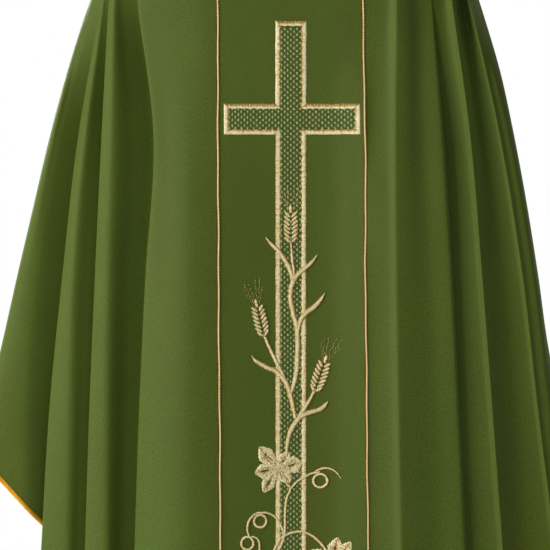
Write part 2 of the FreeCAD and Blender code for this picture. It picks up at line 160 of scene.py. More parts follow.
# Fold lines from the orphrey seam outward: half the width at each of these heights, how far the line lies
# from the shoulder plane (one number, or one for each height), the height where the fold has its full
# depth, and its roundness (1 rolls softly, near 0 is a sharp edge).
FOLD_HEIGHTS = (-0.98, -0.79, -0.60, -0.41, -0.22)
FOLDS = {
    (FRONT, -1): [
        ((0.121, 0.121, 0.121, 0.121, 0.124), (0.1457, 0.1457, 0.1455, 0.1437, 0.1400), -0.36, 1.0),
        ((0.148, 0.146, 0.144, 0.143, 0.158), (0.1457, 0.1457, 0.1454, 0.1425, 0.1320), -0.36, 1.0),
        ((0.182, 0.180, 0.174, 0.170, 0.190), (0.1338, 0.1350, 0.1362, 0.1350, 0.1240), -0.36, 1.0),
        ((0.216, 0.2095, 0.2003, 0.189, 0.212), (0.1110, 0.1170, 0.1230, 0.1270, 0.1180), -0.32, 0.4),
        ((0.210, 0.2035, 0.195, 0.184, 0.209), 0.0980, -0.34, 0.7),
        ((0.233, 0.228, 0.221, 0.214, 0.232), (0.1035, 0.1035, 0.1045, 0.1055, 0.1075), -0.34, 1.0),
        ((0.255, 0.254, 0.251, 0.246, 0.245), 0.1175, -0.34, 1.0),
        ((0.285, 0.279, 0.271, 0.262, 0.252), 0.1045, -0.36, 0.4),
        ((0.271, 0.267, 0.261, 0.252, 0.247), 0.0780, -0.40, 0.7),
        ((0.294, 0.288, 0.281, 0.269, 0.255), 0.0840, -0.40, 1.0),
        ((0.311, 0.307, 0.301, 0.285, 0.260), 0.0895, -0.40, 1.0),
        ((0.347, 0.336, 0.3175, 0.296, 0.263), 0.0755, -0.40, 0.4),
        ((0.326, 0.318, 0.303, 0.284, 0.2605), 0.0480, -0.45, 0.7),
        ((0.371, 0.370, 0.353, 0.323, 0.2765), (0.0645, 0.0645, 0.0620, 0.0580, 0.0570), -0.45, 0.9),
    ],
    (FRONT, 1): [
        ((0.117, 0.116, 0.115, 0.115, 0.117), (0.1440, 0.1440, 0.1450, 0.1490, 0.1410), -0.34, 1.0),
        ((0.144, 0.1405, 0.1380, 0.1365, 0.138), (0.1510, 0.1510, 0.1515, 0.1540, 0.1450), -0.32, 0.6),
        ((0.152, 0.1485, 0.1455, 0.1440, 0.1455), (0.1575, 0.1575, 0.1575, 0.1600, 0.1530), -0.28, 0.4),
        ((0.168, 0.163, 0.160, 0.158, 0.158), (0.1550, 0.1550, 0.1555, 0.1580, 0.1510), -0.30, 1.0),
        ((0.205, 0.200, 0.192, 0.182, 0.175), (0.1480, 0.1480, 0.1485, 0.1500, 0.1420), -0.32, 1.0),
        ((0.241, 0.2315, 0.222, 0.210, 0.195), (0.1480, 0.1480, 0.1490, 0.1500, 0.1400), -0.30, 0.4),
        ((0.243, 0.2335, 0.224, 0.212, 0.1965), 0.1400, -0.32, 0.5),
        ((0.258, 0.2475, 0.2365, 0.2265, 0.209), 0.1385, -0.32, 1.0),
        ((0.2875, 0.2735, 0.2590, 0.2430, 0.2175), 0.1420, -0.30, 0.4),
        ((0.2922, 0.2782, 0.2637, 0.2475, 0.222), 0.1535, -0.26, 0.2),
        ((0.300, 0.286, 0.271, 0.255, 0.228), 0.1450, -0.30, 0.9),
        ((0.325, 0.310, 0.293, 0.269, 0.237), 0.1365, -0.34, 1.0),
        ((0.3610, 0.3375, 0.3155, 0.285, 0.243), 0.1380, -0.30, 0.4),
        ((0.3657, 0.3417, 0.3197, 0.2890, 0.2470), 0.1475, -0.26, 0.2),
        ((0.3700, 0.3460, 0.3250, 0.2940, 0.2510), 0.1445, -0.30, 0.8),
        ((0.384, 0.358, 0.3350, 0.3020, 0.2555), 0.1435, -0.34, 1.0),
    ],
    (BACK, -1): [
        ((0.132, 0.130, 0.128, 0.128, 0.130), 0.134, -0.40, 1.0),
        ((0.176, 0.170, 0.164, 0.158, 0.158), 0.146, -0.40, 0.8),
        ((0.204, 0.198, 0.192, 0.186, 0.182), 0.104, -0.45, 0.9),
        ((0.242, 0.234, 0.224, 0.214, 0.204), 0.128, -0.40, 0.5),
        ((0.233, 0.226, 0.218, 0.210, 0.203), 0.078, -0.45, 0.7),
        ((0.292, 0.282, 0.268, 0.250, 0.230), 0.108, -0.45, 0.5),
        ((0.278, 0.270, 0.258, 0.243, 0.228), 0.056, -0.45, 0.7),
        ((0.336, 0.328, 0.314, 0.290, 0.256), 0.074, -0.45, 0.6),
        ((0.322, 0.315, 0.302, 0.280, 0.252), 0.036, -0.45, 0.7),
    ],
    (BACK, 1): [
        ((0.134, 0.132, 0.130, 0.129, 0.130), 0.138, -0.40, 1.0),
        ((0.172, 0.166, 0.160, 0.156, 0.154), 0.147, -0.40, 0.6),
        ((0.208, 0.200, 0.192, 0.184, 0.178), 0.100, -0.45, 0.9),
        ((0.250, 0.238, 0.224, 0.211, 0.200), 0.127, -0.40, 0.5),
        ((0.242, 0.231, 0.218, 0.208, 0.200), 0.074, -0.45, 0.7),
        ((0.302, 0.286, 0.267, 0.246, 0.222), 0.104, -0.45, 0.5),
        ((0.288, 0.274, 0.257, 0.240, 0.220), 0.056, -0.45, 0.7),
        ((0.350, 0.328, 0.304, 0.278, 0.242), 0.070, -0.45, 0.6),
    ],
}

SQUARENESS = 2.6
# Over 1, the hem runs level at the middle before it rises to the sides.
HEM_RISE = {(FRONT, -1): 2.9, (FRONT, 1): 4.6, (BACK, -1): 1.8, (BACK, 1): 3.6}
TROUGH = 0.012               # the back's middle strip hangs this much nearer the wearer than its seams
# How far before or behind the shoulders the outermost fold turns to the side.
SIDE_FOLD_DEPTH = {(FRONT, -1): 0.057, (FRONT, 1): 0.134, (BACK, -1): 0.060, (BACK, 1): 0.062}
# The front strip falls away from its left seam and comes forward again near its right one.
STRIP_PLACES = (-0.100, -0.065, -0.030, 0.005, 0.040, 0.0615, 0.083, 0.100)
STRIP_FALL = (0.0, 0.0041, 0.0082, 0.0113, 0.0123, 0.0123, 0.0123, 0.0123)
STRIP_RETURN = (0.0, 0.0, 0.0, 0.0, 0.0, 0.0018, 0.0075, 0.0126)


def edge_height(side, down):
    """Height of the side edge a part of the way down."""
    return -SHOULDER_DROP + (SIDE_HEM_Z[side] + SHOULDER_DROP) * down


def even_line(facing, side, share, down):
    """A line at a share of the way across, without folds: its height, half its width, and the side edge's."""
    _, seam_z = seam_at(facing, down)
    edge_z = edge_height(side, down)
    edge = side_width(side, edge_z)
    height = seam_z + (edge_z - seam_z) * share ** HEM_RISE[(facing, side)]
    return height, ORPHREY_HALF + (edge - ORPHREY_HALF) * math.sin(share * math.pi / 2), edge


def smooth_depth(facing, side, width, down):
    """Distance from the shoulder plane of the smooth shape, without folds."""
    seam_y, _ = seam_at(facing, down)
    reach = side_width(side, edge_height(side, down)) - ORPHREY_HALF
    t = np.clip((width - ORPHREY_HALF) / reach, 0.0, 1.0)
    return np.abs(seam_y) * (1 - t**SQUARENESS) ** (1 / SQUARENESS)


def fold_line(facing, side, share, widths, depth, full_at, down):
    """One fold line from the shoulder to the hem. share is its place across the cloth, 0 to 1."""
    height, even, edge = even_line(facing, side, share, down)
    drawn = np.minimum(curve_through(FOLD_HEIGHTS, widths, height), edge - 0.002)
    depth = curve_through(FOLD_HEIGHTS, np.broadcast_to(depth, len(FOLD_HEIGHTS)), height)
    settled = smoothstep(-0.05, -0.24, height)
    width = even + (drawn - even) * settled
    smooth = smooth_depth(facing, side, width, down)
    grown = smoothstep(-0.05, full_at, height)
    y = smooth + (depth - smooth) * grown
    return np.stack([side * width, facing * y, height], axis=-1)


def side_fold_line(facing, side, down):
    """Where the outermost fold turns from facing forward or backward to facing sideways."""
    height, even, edge = even_line(facing, side, 0.98, down)
    grown = smoothstep(-0.06, -0.35, edge_height(side, down))
    width = even + (edge - 0.004 - even) * grown
    smooth = smooth_depth(facing, side, even, down)
    y = smooth + (SIDE_FOLD_DEPTH[(facing, side)] - smooth) * grown
    return np.stack([side * width, facing * y, height], axis=-1)


def seam_proud(facing, z):
    """How far the orphrey seams stand out beyond the strip's own plane."""
    return 0.003 * smoothstep(-0.15, -0.40, z)


DRIFT_HEIGHTS = (-0.95, -0.78, -0.60, -0.43, -0.22)
SEAM_DRIFT = {-1: (0.0040, 0.0026, 0.0013, 0.0006, 0.0), 1: (0.0072, 0.0056, 0.0038, 0.0034, 0.0)}


def seam_drift(facing, side, z):
    """The front seams lean a little to the right on their way down."""
    z = np.clip(z, -1.0, -0.2)
    lean = curve_through(DRIFT_HEIGHTS, SEAM_DRIFT[side], z)
    return lean if facing == FRONT else np.zeros_like(lean)


def strip_x(facing, x, z):
    """Where a place across the middle strip hangs, with its seams leaning."""
    lean = np.where(np.asarray(x) > 0, seam_drift(facing, 1, z), seam_drift(facing, -1, z))
    return x + lean * (x / ORPHREY_HALF) ** 2


def seam_line(facing, side, down):
    seam_y, seam_z = seam_at(facing, down)
    stand = facing * strip_stand(facing, side * ORPHREY_HALF, seam_z)
    x = side * ORPHREY_HALF + seam_drift(facing, side, seam_z)
    return np.stack([x, seam_y + stand, seam_z], axis=-1)


def strip_stand(facing, x, z):
    """How far the middle strip stands out of its plane: a shallow trough between its seams."""
    if facing == BACK:
        bend = smoothstep(-0.15, -0.45, z)
        return seam_proud(facing, z) - TROUGH * (1 - (x / ORPHREY_HALF) ** 2) * bend
    x = np.asarray(x, float)
    fall = curve_through(STRIP_PLACES, STRIP_FALL, x) * smoothstep(-0.24, -0.58, z)
    forward = curve_through(STRIP_PLACES, STRIP_RETURN, x) * smoothstep(-0.24, -0.42, z)
    return seam_proud(facing, z) - fall + forward


def middle_strip(facing, x, down):
    """Point of the orphrey at a place across and a way down."""
    seam_y, seam_z = seam_at(facing, down)
    y = seam_y + facing * strip_stand(facing, x, seam_z)
    return np.stack(np.broadcast_arrays(strip_x(facing, x, seam_z), y, seam_z), axis=-1)


def on_strip(facing, x, z, lift):
    """Point on the outside of a middle strip at x and z as its own viewer sees them, lifted off it."""
    path, _ = SIDE_VIEWS[facing]
    depth = np.interp(-z, -path[:, 1], np.abs(path[:, 0]))
    x_here = -facing * x
    out = depth + strip_stand(facing, x_here, z) + lift
    return np.stack(np.broadcast_arrays(strip_x(facing, x_here, z), facing * out, z), axis=-1)


def outer_edge(side, down):
    edge_z = edge_height(side, down)
    return np.stack([side * side_width(side, edge_z), np.zeros_like(edge_z), edge_z], axis=-1)


def quarter_lines(facing, side, down):
    """Lines of one quarter from the orphrey seam to the side, and how round each one is."""
    lines = [seam_line(facing, side, down)]
    roundness = [1.0]
    folds = FOLDS[(facing, side)]
    for k, (widths, depth, full_at, soft) in enumerate(folds):
        share = (k + 1) / (len(folds) + 1.4)
        lines.append(fold_line(facing, side, share, widths, depth, full_at, down))
        roundness.append(soft)
    lines.append(side_fold_line(facing, side, down))
    roundness.append(0.7)
    return lines, roundness


def half_lines(side, down):
    """All lines of one side of the vestment, from the front seam round to the back seam."""
    front, front_round = quarter_lines(FRONT, side, down)
    back, back_round = quarter_lines(BACK, side, down)
    lines = front + [outer_edge(side, down)] + back[::-1]
    return np.stack(lines, axis=0), front_round + [1.0] + back_round[::-1], len(front)


def across_spline(lines, roundness, per_segment):
    """Smooth sheet through the fold lines: columns across, rows down."""
    count = len(lines)
    span = np.linalg.norm(np.diff(lines, axis=0), axis=2).mean(axis=1)
    knots = np.concatenate([[0], np.cumsum(span)])
    slopes = np.gradient(lines, knots, axis=0) * np.array(roundness)[:, None, None]
    columns = []
    starts = [0]
    for i in range(count - 1):
        for k in range(per_segment[i]):
            t = k / per_segment[i]
            columns.append(hermite(t, span[i], lines[i], lines[i + 1], slopes[i], slopes[i + 1]))
        starts.append(len(columns))
    columns.append(lines[-1])
    return np.stack(columns, axis=0), starts


def smooth_along(grid, axis, rounds):
    """Evens a grid out along one axis, keeping its two ends."""
    grid = np.moveaxis(grid.copy(), axis, 0)
    for _ in range(rounds):
        grid[1:-1] = 0.5 * grid[1:-1] + 0.25 * (grid[:-2] + grid[2:])
    return np.moveaxis(grid, 0, axis)


def grid_normals(grid):
    along = np.gradient(grid, axis=1)
    across = np.gradient(grid, axis=0)
    normal = np.cross(across, along)
    size = np.linalg.norm(normal, axis=2, keepdims=True)
    return normal / np.maximum(size, 1e-12)


ROWS = 300
COLUMN_STEP = 0.0032


def drape_half(side):
    """One side of the vestment as a grid of points, front seam to back seam, and where the side edge is."""
    down = np.linspace(0, 1, ROWS) ** 1.12
    lines, roundness, side_line = half_lines(side, down)
    lengths = np.linalg.norm(np.diff(lines, axis=0), axis=2).max(axis=1)
    per_segment = [max(6, int(length / COLUMN_STEP)) for length in lengths]
    grid, starts = across_spline(lines, roundness, per_segment)
    grid = smooth_along(grid, 0, 2)
    return grid, starts[side_line]


# ---------------------------------------------------------------- meshes

def new_object(name, verts, faces, material=None):
    mesh = bpy.data.meshes.new(name)
    mesh.from_pydata(np.asarray(verts).tolist(), [], faces)
    mesh.validate()
    mesh.polygons.foreach_set("use_smooth", [True] * len(mesh.polygons))
    obj = bpy.data.objects.new(name, mesh)
    bpy.context.scene.collection.objects.link(obj)
    if material:
        mesh.materials.append(material)
    return obj


def set_uv(obj, name, across, along):
    """UV layer from one pair of numbers for each vertex."""
    index = np.zeros(len(obj.data.loops), int)
    obj.data.loops.foreach_get("vertex_index", index)
    layer = obj.data.uv_layers.new(name=name)
    uv = np.stack([np.asarray(across)[index], np.asarray(along)[index]], axis=1)
    layer.data.foreach_set("uv", uv.reshape(-1))


def set_tone_with_painted_light(obj, tone):
    """How light each vertex's thread is, 0 to 1: a tone that holds painted highlights and painted shade as
    well as random variation.
    """
    layer = obj.data.attributes.new("tone", "FLOAT", "POINT")
    layer.data.foreach_set("value", np.asarray(tone, float))


def grid_faces(columns, rows, flip=False):
    faces = []
    for i in range(columns - 1):
        for j in range(rows - 1):
            a = i * rows + j
            quad = (a, a + 1, a + rows + 1, a + rows)
            faces.append(quad[::-1] if flip else quad)
    return faces


def loop_faces(rings, per_ring, closed, start=0):
    """Quads of a tube of closed rings, with an end cap at each end when it isn't closed."""
    faces = []
    for i in range(rings if closed else rings - 1):
        a, b = i * per_ring, ((i + 1) % rings) * per_ring
        for j in range(per_ring):
            k = (j + 1) % per_ring
            faces.append((start + a + j, start + a + k, start + b + k, start + b + j))
    if not closed:
        faces.append(tuple(start + j for j in range(per_ring))[::-1])
        faces.append(tuple(start + (rings - 1) * per_ring + j for j in range(per_ring)))
    return faces


def thicken(obj, thickness):
    """Gives a sheet its thickness on the inside."""
    solid = obj.modifiers.new("thickness", "SOLIDIFY")
    solid.thickness = thickness
    solid.offset = -1
    return obj


def cloth_object(name, grid, material, flip=False, thickness=CLOTH):
    columns, rows, _ = grid.shape
    obj = new_object(name, grid.reshape(-1, 3), grid_faces(columns, rows, flip), material)
    widths = np.linalg.norm(np.diff(grid, axis=0), axis=2).mean(axis=1)
    across = np.concatenate([[0], np.cumsum(widths)])
    lengths = np.linalg.norm(np.diff(grid, axis=1), axis=2).mean(axis=0)
    down = np.concatenate([[0], np.cumsum(lengths)])
    set_uv(obj, "cloth", np.repeat(across, rows), np.tile(down, columns))
    return thicken(obj, thickness)


# ---------------------------------------------------------------- threads

THREAD_PITCH = 0.9           # mm from one satin stitch to the next
PROFILE = np.array([-1.0, -0.86, -0.5, 0.0, 0.5, 0.86, 1.0])
UNDERSIDE = np.array([0.6, -0.6])
# Direction the painted light comes from, in the plane of the cloth: bands are painted lighter on the side
# that faces it.
LIGHT_FROM = np.array([-0.5, 0.87])
LOOSE_END = 0.22             # mm by which a stitch may miss its edge
LOW_RING = 0.78              # height between two stitches, as a share of their own


def even_path(points, step):
    """Smooth path through points in mm, resampled evenly, and how far along each point is."""
    points = np.asarray(points, float)
    knots = run_along(points)
    fine = np.linspace(0, knots[-1], max(8, int(knots[-1] / step * 3)))
    if len(points) > 2:
        curve = np.stack([curve_through(knots, points[:, k], fine) for k in (0, 1)], axis=1)
    else:
        curve = read_off(fine, knots, points)
    length = run_along(curve)
    count = max(4, int(round(length[-1] / step)))
    even = np.linspace(0, length[-1], count + 1)
    path = read_off(even, length, curve)
    at = np.interp(np.interp(even, length, fine), knots, np.arange(len(points)))
    return path, at


def path_sides(path):
    """Unit vectors to the left of a path in the plane of the cloth."""
    ahead = np.gradient(path, axis=0)
    ahead /= np.maximum(np.linalg.norm(ahead, axis=1, keepdims=True), 1e-9)
    return np.stack([-ahead[:, 1], ahead[:, 0]], axis=1)


# The four tones across a band paint its highlight and its shade.
TONE_PLACES = (-1.0, -0.2, 0.45, 1.0)   # where across a band its four tones lie


class Needlework:
    """Collects the threads of one embroidered piece, in mm across and up the cloth and off it."""

    def __init__(self, seed):
        self.points, self.faces, self.tones = [], [], []
        self.count = 0
        self.rng = np.random.default_rng(seed)

    def add(self, points, faces, tones):
        self.points.append(points)
        self.faces.extend(faces)
        self.tones.append(tones)
        self.count += len(points)

    def band(self, edge_a, edge_b, height, closed=False, tone=None, base=0.0):
        """Satin stitches side by side from one edge to the other, rounded up in between."""
        edge_a, edge_b = np.asarray(edge_a, float), np.asarray(edge_b, float)
        rings = len(edge_a)
        stitch = np.arange(rings) // 2
        ragged = self.rng.uniform(-1, 1, (rings + 1, 3))[stitch]
        reach = edge_b - edge_a
        width = np.linalg.norm(reach, axis=1, keepdims=True)
        direction = reach / np.maximum(width, 1e-6)
        loose = np.minimum(LOOSE_END, 0.1 * width)
        edge_a = edge_a + direction * ragged[:, :1] * loose
        edge_b = edge_b + direction * ragged[:, 1:2] * loose
        across = np.concatenate([PROFILE, UNDERSIDE])
        middle, half = (edge_a + edge_b) / 2, (edge_b - edge_a) / 2
        place = middle[:, None] + half[:, None] * across[None, :, None]
        ridge = np.where(np.arange(rings) % 2, 1.0, LOW_RING)
        crown = np.sqrt(np.clip(1 - np.abs(PROFILE) ** 2.4, 0, 1))
        full = np.minimum(height, 0.55 * width[:, 0] + 0.3)
        lift = base + full[:, None] * crown[None] * (ridge + 0.10 * ragged[:, 2])[:, None]
        lift = np.concatenate([lift, np.full((rings, 2), base - 0.25)], axis=1)
        lift[:, [0, 6]] = base + 0.02
        points = np.concatenate([place, lift[..., None]], axis=2).reshape(-1, 3)
        # Without given tones, each band gets a painted highlight down its middle and painted shade at its
        # edges, and is painted lighter on the side turned towards LIGHT_FROM. Given tones paint highlight and
        # shade across the band as well.
        if tone is None:
            lean = (direction @ LIGHT_FROM)[:, None] * across[None]
            shade = 1.0 - 0.98 * np.abs(across[None]) ** 1.25 + 0.14 * lean
        else:
            tone = np.asarray(tone, float) * np.ones((rings, 1))
            place_in = np.interp(across, TONE_PLACES, np.arange(4.0))
            low = np.minimum(place_in.astype(int), 2)
            shade = tone[:, low] + (tone[:, low + 1] - tone[:, low]) * (place_in - low)
        mottle = self.rng.uniform(-1, 1, (rings + 1, len(across)))[stitch]
        # The ragged and mottle terms are the thread's own random variation; the small lift on every other
        # ring is a painted highlight on the stitch crests.
        shade = shade + 0.14 * ragged[:, 2:3] + 0.18 * mottle + 0.04 * (np.arange(rings) % 2)[:, None]
        faces = loop_faces(rings, len(across), closed, self.count)
        self.add(points, faces, np.clip(shade, 0, 1).reshape(-1))

    def line(self, points, widths, height, lean=0.0, base=0.0, pitch=THREAD_PITCH):
        """A satin-stitched line or blade along given points. widths are full widths at them."""
        path, at = even_path(points, pitch / 2)
        widths = np.atleast_1d(np.asarray(widths, float))
        full = np.interp(at, np.linspace(0, len(points) - 1, len(widths)), widths) if len(widths) > 1 \
            else np.full(len(path), widths[0])
        half = np.maximum(full, 0.35)[:, None] / 2
        side = path_sides(path)
        ahead = np.stack([side[:, 1], -side[:, 0]], axis=1)
        self.band(path - side * half - ahead * half * lean, path + side * half + ahead * half * lean,
                  height, base=base)

    def pad(self, start, end, width, height, lean=0.6, base=0.0, tone=None):
        """An oval satin pad, such as a grain of wheat."""
        start, end = np.asarray(start, float), np.asarray(end, float)
        length = np.linalg.norm(end - start)
        count = max(8, int(length / (THREAD_PITCH * 0.45)))
        t = np.linspace(0.0, 1.0, count)
        path = start + (end - start) * t[:, None]
        half = (np.sqrt(np.clip(1 - (2 * t - 1) ** 2, 0.02, 1)) * width / 2)[:, None]
        side = path_sides(path)
        ahead = np.stack([side[:, 1], -side[:, 0]], axis=1)
        self.band(path + side * half + ahead * half * lean, path - side * half - ahead * half * lean,
                  height, tone=tone, base=base)

    def dot(self, centre, arms, height, base=0.0, side=0.42):
        """One loose stitch: a small lozenge between two points."""
        centre, arms = np.asarray(centre, float), np.asarray(arms, float)
        side = np.array([-arms[1], arms[0]]) / np.linalg.norm(arms) * side
        ring = [centre - arms, centre + side, centre + arms, centre - side]
        top = np.array([[*p, base + height * k] for p, k in zip(ring, (0.3, 1, 0.3, 1))])
        bottom = np.array([[*p, base - 0.1] for p in ring])
        crest = np.array([[*centre, base + height * 1.35]])
        n = self.count
        faces = [(n + i, n + (i + 1) % 4, n + 8) for i in range(4)]
        faces += [(n + 4 + i, n + 4 + (i + 1) % 4, n + (i + 1) % 4, n + i) for i in range(4)]
        faces.append((n + 7, n + 6, n + 5, n + 4))
        tone = 0.62 + 0.3 * self.rng.uniform(-1, 1)
        self.add(np.concatenate([top, bottom, crest]), faces, np.full(9, tone))

    def sew_on(self, facing, name, material):
        """Makes the piece, on the outside of one middle strip."""
        points = np.concatenate(self.points) * MM
        placed = on_strip(facing, points[:, 0], points[:, 1], points[:, 2])
        obj = new_object(name, placed, self.faces, material)
        set_uv(obj, "thread", points[:, 0], points[:, 1])
        set_tone_with_painted_light(obj, np.concatenate(self.tones))
        bpy.context.view_layer.objects.active = obj
        return recalculate_normals(obj)


def recalculate_normals(obj):
    build = bmesh.new()
    build.from_mesh(obj.data)
    bmesh.ops.recalc_face_normals(build, faces=build.faces)
    build.to_mesh(obj.data)
    build.free()
    return obj


# ---------------------------------------------------------------- the embroidered design, in mm

CROSS_X = 1.0
CROSS_TOP, CROSS_FOOT, BAR_Z = -249.0, -1125.0, -384.0
ARM, HALF_BAR, BORDER = 92.5, 21.0, 7.0
OUTLINE_HEIGHT = 1.0
RELIEF_HEIGHT = 1.7


def cross_corners(inset):
    """Corners of the cross going clockwise from the top left, moved in from its edge."""
    h, a = HALF_BAR - inset, ARM - inset
    top, foot = CROSS_TOP - inset, CROSS_FOOT + inset
    high, low = BAR_Z + HALF_BAR - inset, BAR_Z - HALF_BAR + inset
    offsets = [(-h, top), (h, top), (h, high), (a, high), (a, low), (h, low),
               (h, foot), (-h, foot), (-h, low), (-a, low), (-a, high), (-h, high)]
    return np.array([(CROSS_X + x, z) for x, z in offsets])


def cross_outline(work):
    """Raised satin border: stitches square to each edge, fanned round the corners."""
    outer, inner = cross_corners(0.0), cross_corners(BORDER)
    edges_a, edges_b, tones = [], [], []
    # Tones for each side of the border: a painted highlight towards the lower side of each level band and the
    # outer side of each upright one, painted shade on the other side.
    top, bottom, upright, low_upright = ((0.16, 0.28, 0.95, 0.80), (0.85, 0.95, 0.30, 0.10),
                                         (0.72, 1.0, 0.50, 0.05), (0.28, 0.92, 0.82, 0.24))
    painted_light_side_tones = (top, upright, top, upright, bottom, low_upright, bottom, low_upright, bottom, upright,
                  top, upright)
    for i in range(len(outer)):
        j = (i + 1) % len(outer)
        ahead = (outer[j] - outer[i]) / np.linalg.norm(outer[j] - outer[i])
        start = min(0.0, (inner[i] - outer[i]) @ ahead)
        stop = max((outer[j] - outer[i]) @ ahead, (inner[j] - outer[i]) @ ahead)
        s = np.arange(start, stop, THREAD_PITCH / 2)
        on_outer = np.clip(s, 0.0, (outer[j] - outer[i]) @ ahead)
        on_inner = np.clip(s, (inner[i] - outer[i]) @ ahead, (inner[j] - outer[i]) @ ahead)
        edges_a.append(outer[i] + ahead * on_outer[:, None])
        square_in = inner[i] - ahead * ((inner[i] - outer[i]) @ ahead)
        edges_b.append(square_in + ahead * on_inner[:, None])
        tones.append(np.tile(painted_light_side_tones[i], (len(s), 1)))
    edge_a, edge_b = np.concatenate(edges_a), np.concatenate(edges_b)
    tones = np.concatenate(tones)
    if len(edge_a) % 2:
        edge_a, edge_b, tones = edge_a[:-1], edge_b[:-1], tones[:-1]
    s = np.arange(len(edge_a)) / len(edge_a) * 2 * math.pi
    wobble = 0.35 * np.sin(41 * s + 0.6) + 0.30 * np.sin(67 * s + 2.1) + 0.2 * np.sin(113 * s)
    inward = (edge_b - edge_a) / np.linalg.norm(edge_b - edge_a, axis=1, keepdims=True)
    edge_a = edge_a - inward * (0.3 + 0.35 * wobble)[:, None]
    edge_b = edge_b + inward * (0.1 + 0.6 * wobble + 0.45 * np.sin(210 * s))[:, None]
    work.band(edge_a, edge_b, OUTLINE_HEIGHT, closed=True, tone=tones)


def inside_cross(x, z, margin):
    h, a = HALF_BAR - BORDER - margin, ARM - BORDER - margin
    upright = abs(x - CROSS_X) < h and CROSS_FOOT + BORDER + margin < z < CROSS_TOP - BORDER - margin
    bar = abs(x - CROSS_X) < a and abs(z - BAR_Z) < h
    return upright or bar


STAR_COLUMN, STAR_ROW = 4.27, 7.6
GROUND_LIFT = 0.35
GROUND_INSET = 5.0            # how far inside the cross's edge the ground stops, under the border
GROUND_THICKNESS = 0.0003    # in metres


def cross_stars(work):
    """Six-armed stars in columns inside the cross, every other column half a step down."""
    for column in range(-21, 22):
        x = CROSS_X + column * STAR_COLUMN
        for row in range(int((CROSS_TOP - CROSS_FOOT) / STAR_ROW) + 1):
            z = CROSS_TOP - BORDER - 4.0 - (row + 0.5 * (column % 2)) * STAR_ROW
            if not inside_cross(x, z, 0.0):
                continue
            jx, jz = work.rng.uniform(-0.2, 0.2, 2)
            work.dot((x + jx, z + jz), (0.0, 3.3), 0.4, GROUND_LIFT, side=0.42)
            for slope in (1.6, -1.6):
                work.dot((x + jx, z + jz), (2.25, slope), 0.4, GROUND_LIFT, side=0.29)


def cross_ground(facing, name, material):
    """The darker cloth inside the cross, a hair above the strip."""
    half, arm = HALF_BAR - GROUND_INSET, ARM - GROUND_INSET
    foot, top = CROSS_FOOT + GROUND_INSET, CROSS_TOP - GROUND_INSET
    low, high = BAR_Z - half, BAR_Z + half
    pieces = [(-half, half, foot, top), (-arm, -half, low, high), (half, arm, low, high)]
    xs = np.unique(np.round(np.concatenate([np.arange(-arm, arm + 0.1, 5.0), [-half, half]]), 3))
    zs = np.unique(np.round(np.concatenate([np.arange(foot, top, 6.0), [top, low, high]]), 3))
    points, faces, used = [], [], {}

    def corner(i, j):
        if (i, j) not in used:
            used[(i, j)] = len(points)
            points.append((CROSS_X + xs[i], zs[j], GROUND_LIFT))
        return used[(i, j)]

    for i in range(len(xs) - 1):
        for j in range(len(zs) - 1):
            x, z = (xs[i] + xs[i + 1]) / 2, (zs[j] + zs[j + 1]) / 2
            if any(a < x < b and c < z < d for a, b, c, d in pieces):
                faces.append((corner(i, j), corner(i + 1, j), corner(i + 1, j + 1), corner(i, j + 1)))
    points = np.array(points) * MM
    placed = on_strip(facing, points[:, 0], points[:, 1], points[:, 2])
    obj = new_object(name, placed, faces, material)
    set_uv(obj, "cloth", points[:, 0], points[:, 1])
    return thicken(obj, GROUND_THICKNESS)


def turned(points, base, tilt):
    """Points drawn upright from 0, 0, tilted clockwise and moved to their base."""
    angle = math.radians(tilt)
    points = np.asarray(points, float)
    x = points[:, 0] * math.cos(angle) + points[:, 1] * math.sin(angle)
    z = -points[:, 0] * math.sin(angle) + points[:, 1] * math.cos(angle)
    return np.stack([x + base[0], z + base[1]], axis=1)


def wheat_ear(work, base_x, base_z, tilt):
    """Two columns of slanting grains, one at the tip, and loose-stitched awns above."""
    base = (base_x, base_z)
    # The padding under the grains has dark tones: painted shade where it shows between them.
    for hand in (-1, 1):
        bulge = ((3.4, 3.0), (5.2, 12.0), (5.4, 26.0), (5.0, 38.0), (3.4, 44.0))
        under = turned([(hand * x, z) for x, z in bulge], base, tilt)
        path, _ = even_path(under, THREAD_PITCH / 2)
        half = path_sides(path) * 2.6
        work.band(path - half, path + half, 0.7, tone=(0.12, 0.24, 0.20, 0.10))
    # The grains' and the tip's tones paint a highlight just off the middle of each and shade at its edges.
    for k, out in enumerate((8.2, 9.4, 9.8, 9.8, 9.7, 9.3, 8.4)):
        up = 2.5 + 5.8 * k
        for hand in (-1, 1):
            grain = turned([(hand * 1.0, up), (hand * out, up + 6.6)], base, tilt)
            work.pad(grain[0], grain[1], 4.9, RELIEF_HEIGHT, lean=0.5 * hand, tone=(0.16, 1.0, 0.66, 0.06))
    tip = turned([(0, 42.5), (0, 54.0)], base, tilt)
    work.pad(tip[0], tip[1], 5.0, RELIEF_HEIGHT, lean=0.3, tone=(0.4, 0.85, 0.5, 0.2))
    foot = turned([(0, -1.0), (0, 2.0), (0, 6.0)], base, tilt)
    work.line(foot, [2.6, 1.6, 0.8], 1.2, base=0.1)
    for lean, reach, start in ((-0.42, 27, 46), (-0.28, 33, 48), (-0.12, 27, 54), (0.12, 29, 54),
                               (0.28, 34, 48), (0.42, 27, 46)):
        for k in range(int(reach / 3.4)):
            along = start + 3.4 * k
            x = math.sin(lean) * (along - 36) + 0.6 * math.sin(k * 1.9 + 8 * lean)
            ends = turned([(x, along), (x + 0.45 * math.sin(lean) + 0.35 * math.cos(2.4 * k), along + 2.7)],
                          base, tilt)
            work.dot(ends.mean(axis=0), (ends[1] - ends[0]) / 2, 0.7, 0.1)


